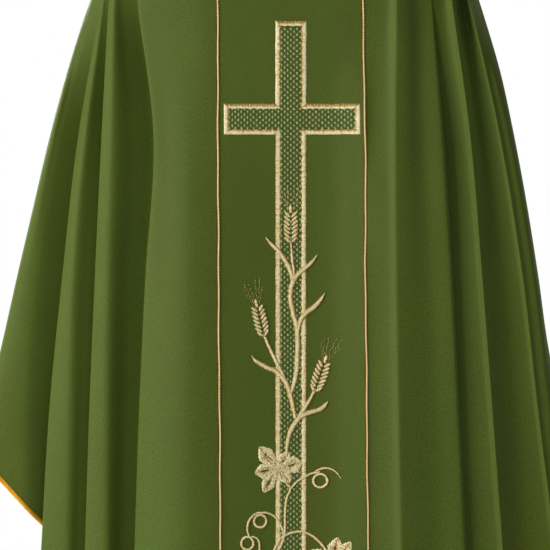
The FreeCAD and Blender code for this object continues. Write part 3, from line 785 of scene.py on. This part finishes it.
STEMS = (
    ([(1, -555), (2, -566), (3, -578), (5, -592), (5, -604)], [3.0, 3.2, 3.6, 4.0, 3.0]),
    ([(3, -640), (5, -655), (9, -670), (10.3, -689), (9.8, -716), (8.4, -735), (5, -750), (1, -763)],
     [6.0, 7.0, 7.6, 7.6, 7.8, 7.6, 6.4, 4.0]),
    ([(-35, -684), (-31, -694), (-26, -705), (-20, -717), (-13, -731), (-7, -744)],
     [4.2, 4.8, 5.2, 5.8, 6.2, 5.4]),
    ([(32, -760), (29, -767), (25, -774), (20, -783), (14, -792), (9, -799)],
     [4.0, 4.6, 5.2, 5.6, 5.8, 4.6]),
)
BLADES = (
    ([(-34, -547), (-26, -556), (-16, -566), (-8, -577), (-1, -590), (3, -606), (3, -616)],
     [0.8, 5.4, 7.2, 7.6, 7.2, 6.0, 3.0]),
    ([(37, -571), (30, -581), (20, -590), (12, -597), (6, -605), (2, -614), (0.6, -626), (1.2, -640),
      (5, -656)],
     [0.8, 5.2, 7.2, 7.4, 7.6, 7.6, 7.4, 7.2, 6.0]),
    ([(47, -624), (41, -634), (33, -643), (25, -649), (18, -656), (13, -665), (11, -676)],
     [0.8, 5.6, 7.4, 7.8, 7.8, 7.2, 4]),
    ([(-54, -710), (-48, -717), (-40, -722), (-31, -727), (-21, -731), (-14, -737), (-8, -744), (-2, -757),
      (1, -768), (4, -782), (7, -797)], [0.8, 5.2, 7.2, 7.4, 7.6, 8, 8, 7.6, 7.2, 6.6, 5.0]),
    ([(51, -773), (47, -779), (41, -784), (30, -788), (19, -792), (12, -797), (6, -805), (1, -814),
      (-2, -823), (-4, -832), (-5, -848)], [0.8, 5.4, 7.2, 7.4, 7.8, 8, 8, 7.4, 6.8, 6.0, 4.0]),
)


def wheat_stems(work):
    for points, widths in STEMS:
        work.line(points, widths, RELIEF_HEIGHT, lean=0.5)


def leaf_blades(work):
    for points, widths in BLADES:
        work.line(points, widths, RELIEF_HEIGHT + 0.2, lean=0.6)


# A vine leaf: the tip of each lobe from the point where its veins meet, how wide the lobe is, how far
# out along it it is widest, and where the open slit in it starts and stops.
UPPER_LEAF = (
    ((-27, 30), 21, 0.55, (0.36, 0.70)), ((-33, -6), 19, 0.58, (0.40, 0.74)),
    ((-21, -33), 17, 0.60, (0.46, 0.78)),
    ((14, 23), 17, 0.52, (0.34, 0.66)), ((32, 8), 22, 0.60, (0.40, 0.68)), ((16, -20), 17, 0.50, None),
)
LOWER_LEAF = (
    ((6, 39), 19, 0.55, (0.36, 0.70)), ((22, 33), 18, 0.55, (0.40, 0.70)),
    ((-32, 20), 19, 0.55, (0.40, 0.72)),
    ((-26, -12), 18, 0.55, (0.40, 0.70)), ((25, -4), 21, 0.55, (0.38, 0.70)), ((4, -24), 18, 0.50, None),
)


def vine_leaf(work, centre, lobes, stalk):
    """Lobes of slanting stitches with an open slit in each and a raised vein down the middle."""
    centre = np.array(centre, float)
    for number, (tip, width, widest, slit) in enumerate(lobes):
        tip = np.array(tip, float)
        length = np.linalg.norm(tip)
        ahead = tip / length
        left = np.array([-ahead[1], ahead[0]])
        t = np.linspace(-0.12, 1.0, int(length / 0.42))
        grow = np.clip((t + 0.12) / (widest + 0.12), 0, 1)
        shrink = np.clip((1 - t) / (1 - widest), 0, 1)
        half = width / 2 * np.minimum(np.sin(grow * math.pi / 2), shrink**0.72)
        teeth = 1 + 0.13 * np.abs(((t * length / 5.2) % 1) - 0.5) * 2 * (t > 0.3)
        half = np.maximum(half * teeth, 0.25)
        gap = np.zeros_like(t)
        if slit:
            middle, reach = (slit[0] + slit[1]) / 2, (slit[1] - slit[0]) / 2
            gap = 1.25 * np.sqrt(np.clip(1 - ((t - middle) / reach) ** 2, 0, 1))
        curve = 0.05 * length * np.sin(t * 2.4 + number) - 0.05 * length * math.sin(number)
        spine = centre + ahead * (t * length)[:, None] + left * (curve * (1 - t) * t * 4 * 0.4)[:, None]
        height = 1.1 + 0.12 * (number % 3)
        slant = ahead * (half * 0.45)[:, None]
        for hand in (-1, 1):
            inner = spine + left * (hand * gap)[:, None]
            outer = spine + left * (hand * (half + gap * 0.3))[:, None] + slant
            # The tones paint each lobe darker at its slit and lighter towards its outer edge: painted shade
            # and painted light.
            work.band(inner, outer, height, tone=(0.40, 0.68, 0.74, 0.86), base=0.25 + 0.05 * hand)
        stop = slit[0] * 0.95 if slit else 0.6
        vein = centre + tip * np.linspace(0.0, stop, 5)[:, None]
        work.line(vein, [2.8, 1.6], 2.1, lean=0.4)
    work.line(stalk, [2.0, 2.4, 2.8], 2.3, lean=0.4)


VINE = (
    ([(-2, -888), (0, -895), (-4, -905), (-6, -915), (-7, -929), (-7, -944), (-8, -958), (-14, -975),
      (-24, -990)],
     [3.0, 3.6, 3.8, 4.0, 4.0, 4.2, 4.4, 4.4, 4.4]),
    ([(-26, -992), (-24, -985), (-20, -974), (-15, -965), (-10, -960), (-4, -957), (5, -954), (14, -953),
      (22, -955), (30, -959), (38, -966), (44, -973), (52, -988)],
     [4.2, 4.4, 4.4, 4.2, 4.2, 4.2, 4.0, 4.0, 4.0, 4.0, 4.0, 4.0, 4.0]),
)
TENDRILS = (
    ([(1, -894), (5, -889), (10, -884), (16, -880), (23, -876), (29, -873), (34, -872), (40, -871)],
     [3.6, 3.6, 3.6, 3.6, 3.6, 3.4, 3.2, 3.0]),
    ([(31, -873), (36, -869), (42, -866.5), (47, -865.5), (52, -866), (57, -868), (61, -871), (67, -880)],
     [2.6, 3.0, 3.4, 3.4, 3.2, 2.8, 2.4, 0.8]),
    ([(-9, -957), (-11, -949), (-14, -942), (-18, -936), (-22, -932), (-27, -929), (-33, -927), (-39, -927),
      (-45, -927), (-51, -930), (-56, -935), (-60, -944), (-60, -953), (-57, -960), (-52, -966)],
     [3.8, 3.8, 3.6, 3.6, 3.6, 3.6, 3.6, 3.6, 3.4, 3.4, 3.4, 3.4, 3.2, 3.2, 3.0]),
    ([(-56, -961), (-52, -960), (-47, -962), (-44, -966), (-43, -972), (-44, -982), (-48, -988), (-52, -993)],
     [2.6, 3.2, 3.4, 3.4, 3.4, 3.0, 2.4, 0.8]),
)
LOOPS = ((40.5, -883.0, 9.2), (-42.0, -938.5, 8.7), (-60.5, -969.0, 8.7))


def vine_stem(work):
    for points, widths in VINE:
        work.line(points, widths, RELIEF_HEIGHT + 0.1, lean=0.5)


def tendrils(work):
    for points, widths in TENDRILS:
        work.line(points, widths, RELIEF_HEIGHT - 0.1, lean=0.5)
    for x, z, radius in LOOPS:
        count = 2 * int(math.pi * radius / THREAD_PITCH)
        angle = np.linspace(0, 2 * math.pi, count, endpoint=False)
        round_it = np.stack([np.cos(angle), np.sin(angle)], axis=1)
        middle = np.array([x, z])
        work.band(middle + round_it * (radius - 2.0), middle + round_it * (radius + 2.0), RELIEF_HEIGHT - 0.1,
                  closed=True)


GRAPE_ROWS = ((-998, 3), (-1011, 4), (-1024, 5), (-1037, 4), (-1050, 3), (-1063, 2), (-1076, 1))


def grape_cluster(work):
    """Round satin pads, each with a stitched rim."""
    for z, count in GRAPE_ROWS:
        for k in range(count):
            x = -28 + (k - (count - 1) / 2) * 14.5
            turn = work.rng.uniform(-0.5, 0.5)
            reach = 5.2 * np.array([math.sin(turn), math.cos(turn)])
            centre = np.array([x, z])
            work.pad(centre - reach, centre + reach, 10.4, 2.2, lean=0.25)
            turns = np.linspace(0, 2 * math.pi, 60, endpoint=False)
            rim = np.stack([np.cos(turns), np.sin(turns)], axis=1)
            # The rim's tones paint a highlight on its inner half and shade at its outer edge.
            work.band(centre + rim * 5.0, centre + rim * 6.7, 1.5, closed=True, tone=(0.5, 0.85, 0.6, 0.2))


DESIGN = (
    ("cross_outline", 11, cross_outline), ("cross_fill", 12, cross_stars), ("wheat_stems", 14, wheat_stems),
    ("wheat_ear_centre", 15, lambda work: wheat_ear(work, 1, -556, 0)),
    ("wheat_ear_left", 16, lambda work: wheat_ear(work, -36, -685, -13)),
    ("wheat_ear_right", 17, lambda work: wheat_ear(work, 33, -761, 18)),
    ("leaf_blades", 18, leaf_blades),
    ("vine_leaf_upper", 19, lambda work: vine_leaf(
        work, (-16, -866), UPPER_LEAF, [(-34, -848), (-24, -858), (-16, -866), (-8, -881), (-2, -892)])),
    ("vine_leaf_lower", 20, lambda work: vine_leaf(
        work, (57, -1000), LOWER_LEAF, [(52, -986), (56, -994), (57, -1000), (50, -1010)])),
    ("vine_stem", 21, vine_stem), ("tendrils", 22, tendrils), ("grape_cluster", 23, grape_cluster),
)


# ---------------------------------------------------------------- cords and bindings

RING_STEP = 0.0007            # from one ring of a strand to the next
STRANDS, LAY = 2, 0.0085      # strands in a cord, and the length of one turn
# A strand's distance from the cord's middle and its own radius, as shares of the cord's radius.
STRAND_OUT, STRAND_FAT = 0.48, 0.56


def twisted_cord(name, path, outward, radius, material, seed, closed=False):
    """Strands laid round each other along a path in metres."""
    length = run_along(path)
    count = int(length[-1] / RING_STEP)
    even = np.linspace(0, length[-1], count, endpoint=not closed)
    path, outward = read_off(even, length, path), read_off(even, length, outward)
    ahead = unit(np.gradient(path, axis=0))
    sideways = unit(np.cross(ahead, outward))
    outward = np.cross(sideways, ahead)
    turns = max(1, round(length[-1] / LAY))
    rng = np.random.default_rng(seed)
    per_ring = 7
    points, faces, tones = [], [], []
    for strand in range(STRANDS):
        angle = 2 * math.pi * (even / length[-1] * turns + strand / STRANDS)
        middle = path + radius * STRAND_OUT * (np.cos(angle)[:, None] * outward
                                               + np.sin(angle)[:, None] * sideways)
        round_it = np.linspace(0, 2 * math.pi, per_ring, endpoint=False)
        ring = (np.cos(round_it)[None, :, None] * outward[:, None] + np.sin(round_it)[None, :, None]
                * sideways[:, None])
        fat = radius * STRAND_FAT * (1 + 0.05 * rng.uniform(-1, 1, (len(even), per_ring)))
        points.append((middle[:, None] + ring * fat[..., None]).reshape(-1, 3))
        faces.extend(loop_faces(len(even), per_ring, closed, strand * len(even) * per_ring))
        # Tones paint each strand lighter where it faces out from the cloth and darker at its sides: painted
        # highlight and painted shade, with a little random variation.
        height = 0.5 * np.cos(angle)[:, None] + 0.6 * np.cos(round_it)[None]
        across = 0.5 * np.sin(angle)[:, None] + 0.6 * np.sin(round_it)[None]
        tones.append(np.clip(0.55 + 0.35 * height - 0.45 * np.abs(across) ** 1.5
                             + 0.08 * rng.uniform(-1, 1, height.shape), 0, 1).reshape(-1))
    obj = new_object(name, np.concatenate(points), faces, material)
    set_tone_with_painted_light(obj, np.concatenate(tones))
    return recalculate_normals(obj)


def hem_binding(name, hem, upward, outward, material):
    """Folded satin strip round the hem edge, with the stitch line that holds it."""
    section = [(0.0072, 0.0001), (0.0075, 0.0006), (0.0068, 0.0009), (0.0062, 0.00065), (0.0056, 0.0010),
               (0.0035, 0.0013), (0.0012, 0.0012), (-0.0004, 0.0006), (-0.0008, -0.0005), (-0.0004, -0.0016),
               (0.0012, -0.0021), (0.0040, -0.0022), (0.0070, -0.0018), (0.0072, -0.0011)]
    up = np.array([u for u, _ in section])
    out = np.array([o for _, o in section])
    points = hem[:, None] + upward[:, None] * up[None, :, None] + outward[:, None] * out[None, :, None]
    obj = new_object(name, points.reshape(-1, 3), loop_faces(len(hem), len(section), False), material)
    set_uv(obj, "cloth", np.repeat(run_along(hem), len(section)), np.tile(up, len(hem)))
    return recalculate_normals(obj)


def hem_frame(grid, facing_out):
    """Last row of a cloth grid with the directions up the cloth and out of it."""
    hem = grid[:, -1]
    upward = unit(grid[:, -8] - hem)
    outward = grid_normals(grid)[:, -1] * facing_out
    return hem, upward, outward


# ---------------------------------------------------------------- neck

NECK_HALF_WIDTH, NECK_HALF_DEPTH, NECK_CENTRE_Y = 0.088, 0.098, -0.012
FACING_WIDTH = 0.040


def strip_down_at(facing, depth):
    """How far down the middle strip a depth behind or before the shoulders is, 0 to 1."""
    path, length = SIDE_VIEWS[facing]
    return np.interp(depth, np.abs(path[:, 0]), length) / length[-1]


def neck_start(facing, x):
    """Where a column of the middle strip starts: at the neck opening, or at the shoulder."""
    inside = np.clip(1 - (x / NECK_HALF_WIDTH) ** 2, 0, None)
    edge = facing * NECK_CENTRE_Y + NECK_HALF_DEPTH * np.sqrt(inside)
    return np.where((inside > 0) & (edge > 0), strip_down_at(facing, np.maximum(edge, 0)), 0.0)


def middle_grid(facing):
    x = np.linspace(-ORPHREY_HALF, ORPHREY_HALF, 65)
    edge = NECK_HALF_WIDTH
    near = np.array([0.9, 0.97, 0.995]) * edge
    x = np.unique(np.round(np.concatenate([x, near, -near, [edge + 0.0002, -edge - 0.0002]]), 6))
    start = neck_start(facing, x)
    share = np.linspace(0, 1, ROWS) ** 1.15
    down = start[:, None] + (1 - start[:, None]) * share[None]
    return middle_strip(facing, x[:, None], down)


def neck_points(facing, margin, lift, count=121):
    """Points round one half of the neck opening, a margin away from it along the cloth and lifted off it."""
    low = math.asin(NECK_CENTRE_Y * facing / NECK_HALF_DEPTH)
    angle = np.linspace(-low, math.pi + low, count)
    x = (NECK_HALF_WIDTH + margin) * np.cos(angle)
    x = np.clip(x, -ORPHREY_HALF + 0.003, ORPHREY_HALF - 0.003)
    depth = np.maximum(facing * NECK_CENTRE_Y + NECK_HALF_DEPTH * np.sin(angle), 0.0)
    path, length = SIDE_VIEWS[facing]
    down = strip_down_at(facing, depth) + margin * np.maximum(np.sin(angle), 0.0) / length[-1]
    point = middle_strip(facing, x, down)
    ahead = unit(np.gradient(path, axis=0))
    at = down * length[-1]
    slope_y, slope_z = np.interp(at, length, ahead[:, 0]), np.interp(at, length, ahead[:, 1])
    outward = np.stack([np.zeros_like(x), -slope_z * facing, slope_y * facing], axis=1)
    return point + outward * lift, outward


# ---------------------------------------------------------------- materials

def node_material(name):
    material = bpy.data.materials.new(name)
    material.use_nodes = True
    tree = material.node_tree
    tree.nodes.clear()
    out = tree.nodes.new("ShaderNodeOutputMaterial")
    shader = tree.nodes.new("ShaderNodeBsdfPrincipled")
    tree.links.new(shader.outputs[0], out.inputs[0])
    return material, tree, shader


def node(tree, kind, links=(), **values):
    """New node. links are (socket or value, input) pairs; values are settings, or inputs with spaces as _."""
    made = tree.nodes.new("ShaderNode" + kind)
    for key, value in values.items():
        if hasattr(made, key):
            setattr(made, key, value)
        else:
            made.inputs[key.replace("_", " ")].default_value = value
    for source, name in links:
        if isinstance(source, bpy.types.NodeSocket):
            tree.links.new(source, made.inputs[name])
        else:
            made.inputs[name].default_value = source
    return made


def multiply_add(tree, value, factor, extra):
    return node(tree, "Math", [(value, 0), (factor, 1), (extra, 2)], operation="MULTIPLY_ADD")


def finish_shader(tree, shader, colour, relief, strength, distance, **settings):
    """Joins a shader to its colour and bump, and sets its other inputs (spaces as _)."""
    tree.links.new(colour, shader.inputs["Base Color"])
    height = node(tree, "Bump", [(relief, "Height")], Strength=strength, Distance=distance)
    tree.links.new(height.outputs[0], shader.inputs["Normal"])
    for key, value in settings.items():
        shader.inputs[key.replace("_", " ")].default_value = value


def ramp(tree, factor, stops):
    made = tree.nodes.new("ShaderNodeValToRGB")
    elements = made.color_ramp.elements
    while len(elements) < len(stops):
        elements.new(0.5)
    for element, (place, colour) in zip(elements, stops):
        element.position = place
        element.color = (*colour, 1)
    tree.links.new(factor, made.inputs["Fac"])
    return made


def woven(name, colour, dark, twill=1150.0, sheen=0.5, roughness=0.55):
    """Twill cloth: fine diagonal ribs, single threads crossing them, and slow changes of tone."""
    material, tree, shader = node_material(name)
    uv = node(tree, "UVMap", uv_map="cloth")
    turned_uv = node(tree, "Mapping", [(uv.outputs["UV"], "Vector")], Rotation=(0, 0, math.radians(58)))
    ribs = node(tree, "TexWave", [(turned_uv.outputs[0], "Vector")], Scale=twill / 6.3, Distortion=1.4,
                Detail=2.0, Detail_Scale=3.0)
    cross = node(tree, "TexWave", [(uv.outputs["UV"], "Vector")], Scale=twill / 3.6, Distortion=0.6)
    slow = node(tree, "TexNoise", [(uv.outputs["UV"], "Vector")], Scale=9.0, Detail=4.0, Roughness=0.6)
    fine = node(tree, "TexNoise", [(uv.outputs["UV"], "Vector")], Scale=430.0, Detail=3.0, Roughness=0.7)
    weave = node(tree, "Math", [(ribs.outputs["Fac"], 0), (cross.outputs["Fac"], 1)], operation="ADD")
    mixed = multiply_add(tree, weave.outputs[0], 0.16, -0.75)
    speck = multiply_add(tree, fine.outputs["Fac"], 1.9, mixed.outputs[0])
    tone = multiply_add(tree, slow.outputs["Fac"], 0.35, speck.outputs[0])
    shade = ramp(tree, tone.outputs[0], [(0.24, dark), (0.82, colour)])
    long_uv = node(tree, "Mapping", [(uv.outputs["UV"], "Vector")], Scale=(11.0, 1.6, 1.0))
    warm = node(tree, "TexNoise", [(long_uv.outputs[0], "Vector")], Scale=1.0, Detail=2.0)
    warmth = node(tree, "MapRange", [(warm.outputs["Fac"], "Value")], From_Min=0.35, From_Max=0.7)
    olive = node(tree, "Mix", [(warmth.outputs[0], "Factor"), (shade.outputs["Color"], 6),
                               ((1.12, 0.96, 0.95, 1), 7)], data_type="RGBA", blend_type="MULTIPLY")
    rough = node(tree, "MapRange", [(speck.outputs[0], "Value")], To_Min=roughness - 0.06,
                 To_Max=roughness + 0.08)
    tree.links.new(rough.outputs[0], shader.inputs["Roughness"])
    finish_shader(tree, shader, olive.outputs[2], weave.outputs[0], 0.25, 0.0004, Specular_IOR_Level=0.15,
                  Sheen_Weight=sheen, Sheen_Roughness=0.35,
                  Sheen_Tint=(*[min(1.0, 2.6 * c + 0.3) for c in colour], 1))
    return material


def threads(name, stops, fleck=0.55, patch_size=560.0):
    """Gold thread: its lightness comes from each stitch's tone, which holds painted highlights and painted
    shade as well as random variation, with small bright and dark flecks.
    """
    material, tree, shader = node_material(name)
    tone = node(tree, "Attribute", attribute_name="tone")
    place = node(tree, "TexCoord")
    grain = node(tree, "TexNoise", [(place.outputs["Object"], "Vector")], Scale=1500.0, Detail=3.0)
    patch = node(tree, "TexNoise", [(place.outputs["Object"], "Vector")], Scale=patch_size, Detail=2.0)
    both = node(tree, "Math", [(grain.outputs["Fac"], 0), (patch.outputs["Fac"], 1)], operation="ADD")
    centred = node(tree, "Math", [(both.outputs[0], 0), (1.0, 1)], operation="SUBTRACT")
    level = multiply_add(tree, centred.outputs[0], fleck * 2, tone.outputs["Fac"])
    shade = ramp(tree, level.outputs[0], stops)
    finish_shader(tree, shader, shade.outputs["Color"], grain.outputs["Fac"], 0.3, 0.0003, Roughness=0.5,
                  Specular_IOR_Level=0.25)
    return material


def satin(name, colour, dark):
    """Satin binding with fine ribs that run along the strip; they paint lengthwise streaks of sheen and shade
    into its colour and also drive its bump.
    """
    material, tree, shader = node_material(name)
    uv = node(tree, "UVMap", uv_map="cloth")
    ribs = node(tree, "TexWave", [(uv.outputs["UV"], "Vector")], Scale=190.0, Distortion=1.6, Detail=2.0,
                bands_direction="Y")
    slow = node(tree, "TexNoise", [(uv.outputs["UV"], "Vector")], Scale=60.0, Detail=3.0)
    tone = multiply_add(tree, ribs.outputs["Fac"], 0.3, slow.outputs["Fac"])
    shade = ramp(tree, tone.outputs[0], [(0.35, dark), (0.8, colour)])
    finish_shader(tree, shader, shade.outputs["Color"], ribs.outputs["Fac"], 0.3, 0.0004, Roughness=0.42,
                  Specular_IOR_Level=0.2)
    return material


# ---------------------------------------------------------------- camera, light and stage

CAMERA_PLACE = (-0.021, -6.0, -0.599)
CAMERA_LENS = 278.3
LIT_POINT = (0, 0, -0.6)      # what every light is aimed at
FLOOR_BELOW = 0.12            # the vestment hangs this far above the floor


def place_camera():
    camera = bpy.data.cameras.new("camera")
    camera.lens = CAMERA_LENS
    camera.sensor_width = 36
    obj = bpy.data.objects.new("camera", camera)
    bpy.context.scene.collection.objects.link(obj)
    obj.location = CAMERA_PLACE
    obj.rotation_euler = (math.radians(90), 0, 0)
    bpy.context.scene.camera = obj


def area_light(name, place, size, power):
    light = bpy.data.lights.new(name, "AREA")
    light.shape = "RECTANGLE"
    light.size, light.size_y = size
    light.energy = power
    obj = bpy.data.objects.new(name, light)
    bpy.context.scene.collection.objects.link(obj)
    obj.location = place
    aim = Vector(LIT_POINT) - Vector(place)
    obj.rotation_euler = aim.to_track_quat("-Z", "Y").to_euler()


def light_scene():
    bpy.context.scene.view_settings.view_transform = "Standard"
    world = bpy.data.worlds.new("studio")
    bpy.context.scene.world = world
    world.use_nodes = True
    tree = world.node_tree
    background = tree.nodes["Background"]
    background.inputs[0].default_value = (1, 1, 1, 1)
    path = tree.nodes.new("ShaderNodeLightPath")
    strength = tree.nodes.new("ShaderNodeMapRange")
    strength.inputs["To Min"].default_value = 0.13
    strength.inputs["To Max"].default_value = 1.0
    tree.links.new(path.outputs["Is Camera Ray"], strength.inputs["Value"])
    tree.links.new(strength.outputs["Result"], background.inputs["Strength"])
    area_light("key", (-3.46, -2.0, 0.5), (2.0, 2.0), 158)
    area_light("front", (0.6, -3.8, 0.5), (1.8, 1.8), 4)
    area_light("rim", (3.4, -0.8, 0.3), (0.8, 1.8), 10)
    area_light("back", (-0.9, 3.2, 0.9), (1.6, 2.0), 90)


def build_stage():
    material, tree, shader = node_material("pale_floor")
    shader.inputs["Base Color"].default_value = (0.86, 0.86, 0.85, 1)
    shader.inputs["Roughness"].default_value = 0.9
    wide, behind = 14.0, 4.9      # the floor stops short of the main view's lower edge
    z = BACK_HEM_Z - FLOOR_BELOW
    floor = new_object("floor", [(-wide, -wide, z), (wide, -wide, z), (wide, behind, z), (-wide, behind, z)],
                       [(0, 1, 2, 3)], material)


# ---------------------------------------------------------------- assembly

place_camera()
light_scene()
build_stage()

GREEN = woven("green_gabardine", (0.098, 0.148, 0.018), (0.064, 0.098, 0.010))
GROUND = woven("cross_ground_cloth", (0.078, 0.140, 0.018), (0.052, 0.096, 0.010), sheen=0.1)
BUCKRAM = woven("interfacing_cloth", (0.17, 0.20, 0.08), (0.12, 0.15, 0.05), twill=500.0, roughness=0.8)
FACING = woven("facing_cloth", (0.075, 0.12, 0.020), (0.055, 0.09, 0.013), twill=900.0, roughness=0.7)
# The gold ramp runs from painted shade, dark brown, to a painted highlight, near-white cream, standing in for
# the metal thread's glint.
GOLD_RAMP_WITH_PAINTED_LIGHT = [(0.0, (0.23, 0.122, 0.024)), (0.30, (0.43, 0.270, 0.062)), (0.60, (0.77, 0.565, 0.20)),
              (0.95, (1.0, 0.94, 0.61))]
GOLD = threads("gold_thread", GOLD_RAMP_WITH_PAINTED_LIGHT)
SPECKLED = threads("speckled_gold_thread", GOLD_RAMP_WITH_PAINTED_LIGHT, fleck=1.5, patch_size=620.0)
STARS = threads("pale_fill_thread", [(0.0, (0.34, 0.31, 0.11)), (0.5, (0.60, 0.56, 0.26)),
                                     (1.0, (0.90, 0.84, 0.48))], fleck=0.3)
# The cord's ramp runs from a dark orange painted shade at the strands' sides to a pale painted highlight on
# their tops.
CORD = threads("gold_cord", [(0.0, (0.50, 0.15, 0.014)), (0.35, (0.84, 0.40, 0.09)),
                             (0.65, (1.0, 0.76, 0.36)), (1.0, (1.0, 0.92, 0.62))], fleck=0.3)
SATIN = satin("gold_satin", (0.90, 0.46, 0.014), (0.52, 0.20, 0.005))


def fit(piece, nodes):
    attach(piece, "root")
    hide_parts(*nodes)
    return piece


def declare(grid, pick=np.max):
    """Works out the run across a cloth, without keeping or stating it. That is the longest one, or the
    shortest in a strip of one width, whose rows dip towards the neck."""
    across = pick(np.linalg.norm(np.diff(grid, axis=0), axis=2).sum(axis=0))


CORD_WOBBLE = 0.0003          # how far the seam cords stray, and stand off the seam
THREAD = {"cross_fill": STARS, "vine_leaf_upper": SPECKLED, "vine_leaf_lower": SPECKLED}
hems = {}
cloths = {}
for side, word in ((-1, "left"), (1, "right")):
    grid, edge = drape_half(side)
    flip = side < 0
    for facing, part in ((FRONT, grid[:edge + 1]), (BACK, grid[edge:])):
        name = ("front_" if facing == FRONT else "back_") + word
        piece = cloth_object(name + "_cloth", part, GREEN, flip)
        fit(piece, [name + "_panel"])
        cloths[name] = (piece, part)
        hems[name] = hem_frame(part, 1 if flip else -1)

for facing, word in ((FRONT, "front"), (BACK, "back")):
    strip = middle_grid(facing)
    piece = cloth_object(word + "_middle_cloth", strip, GREEN, facing == BACK)
    fit(piece, [word + "_orphrey"])
    cloths[word + "_middle"] = (piece, strip)
    hems[word + "_middle"] = hem_frame(strip, 1 if facing == BACK else -1)

for facing, word in ((FRONT, "front"), (BACK, "back")):
    # Hem binding, from the left side edge round to the right one.
    order = [word + "_left", word + "_middle", word + "_right"]
    runs = []
    for name in order:
        hem, upward, outward = hems[name]
        if hem[0, 0] > hem[-1, 0]:
            hem, upward, outward = hem[::-1], upward[::-1], outward[::-1]
        runs.append((hem, upward, outward))
    hem, upward, outward = (np.concatenate([run[k] for run in runs]) for k in range(3))
    apart = np.linalg.norm(np.diff(hem, axis=0), axis=1) > 0.0004
    keep = np.concatenate([[True], apart])
    binding = hem_binding(word + "_hem_satin", hem[keep], upward[keep], outward[keep], SATIN)
    fit(binding, ["hem_binding_" + word])

    # Cords over both seams.
    for side, hand in ((-1, "left"), (1, "right")):
        down = np.linspace(0.0, 1.0, 900)
        line = seam_line(facing, side, down)
        ahead = unit(np.gradient(line, axis=0))
        out = np.stack([np.zeros(len(down)), -ahead[:, 2] * facing, ahead[:, 1] * facing], axis=1)
        line = line + out * CORD_WOBBLE
        line[:, 0] += CORD_WOBBLE * np.sin(31 * down + side) + CORD_WOBBLE * np.sin(83 * down)
        cord = twisted_cord("%s_%s_gold_cord" % (word, hand), line, out, 0.00148, CORD, 31 + side)
        fit(cord, ["%s_cord_%s" % (word, hand)])

    # Embroidery.
    for name, seed, draw in DESIGN:
        work = Needlework(seed)
        draw(work)
        piece = work.sew_on(facing, "%s_%s_thread" % (word, name), THREAD.get(name, GOLD))
        fit(piece, ["%s_%s" % (word, name)])
    ground = cross_ground(facing, word + "_cross_ground", GROUND)
    fit(ground, [word + "_cross_fill"])

    # Interfacing behind the middle strip.
    x = np.linspace(-0.095, 0.095, 33)
    path, length = SIDE_VIEWS[facing]
    top = np.interp(0.260, -path[:, 1], length) / length[-1]
    bottom = 1 - 0.015 / length[-1]
    grid = middle_strip(facing, x[:, None], np.linspace(top, bottom, 120)[None])
    grid[..., 1] -= facing * INNER_GAP
    buckram = cloth_object(word + "_interfacing_cloth", grid, BUCKRAM, facing == BACK, INNER_CLOTH)
    fit(buckram, [word + "_interfacing"])
    declare(grid)

    # Neck facing.
    rings = [neck_points(facing, FACING_WIDTH * k / 8, -INNER_GAP)[0] for k in range(9)]
    grid = np.stack(rings, axis=1)
    facing_cloth = cloth_object("neck_facing_%s_cloth" % word, grid, FACING, facing == FRONT, INNER_CLOTH)
    fit(facing_cloth, ["neck_facing_" + word])
    declare(grid)

# Cord round the neck opening.
front_ring, front_out = neck_points(FRONT, 0.0015, 0.0012)
back_ring, back_out = neck_points(BACK, 0.0015, 0.0012)
ring = np.concatenate([front_ring, back_ring[::-1][1:-1], front_ring[:1]])
out = np.concatenate([front_out, back_out[::-1][1:-1], front_out[:1]])
neck = twisted_cord("neck_gold_cord", ring, out, 0.0014, CORD, 41, closed=True)
fit(neck, ["neck_cord"])

# Tape under each shoulder seam, from a few rows of the front cloth over to a few of the back one.
TAPE_COLUMNS, TAPE_BELOW, TAPE_THICKNESS = 24, 0.0016, 0.0005
for side, word in ((-1, "left"), (1, "right")):
    front, back = cloths["front_" + word][1], cloths["back_" + word][1]
    across_front = np.linspace(0, len(front) - 1, TAPE_COLUMNS).astype(int)
    across_back = np.linspace(len(back) - 1, 0, TAPE_COLUMNS).astype(int)
    tape = np.concatenate([front[across_front, 3::-1], back[across_back, 1:4]], axis=1)
    tape = tape - np.array([0, 0, TAPE_BELOW])
    piece = cloth_object("shoulder_tape_%s_cloth" % word, tape, FACING, side > 0, TAPE_THICKNESS)
    fit(piece, ["shoulder_tape_" + word])
    declare(tape)

for word in ("front", "back"):
    for part in ("left", "middle", "right"):
        piece, grid = cloths["%s_%s" % (word, part)]
        if part == "middle":
            declare(grid, np.min)
        else:
            declare(grid)
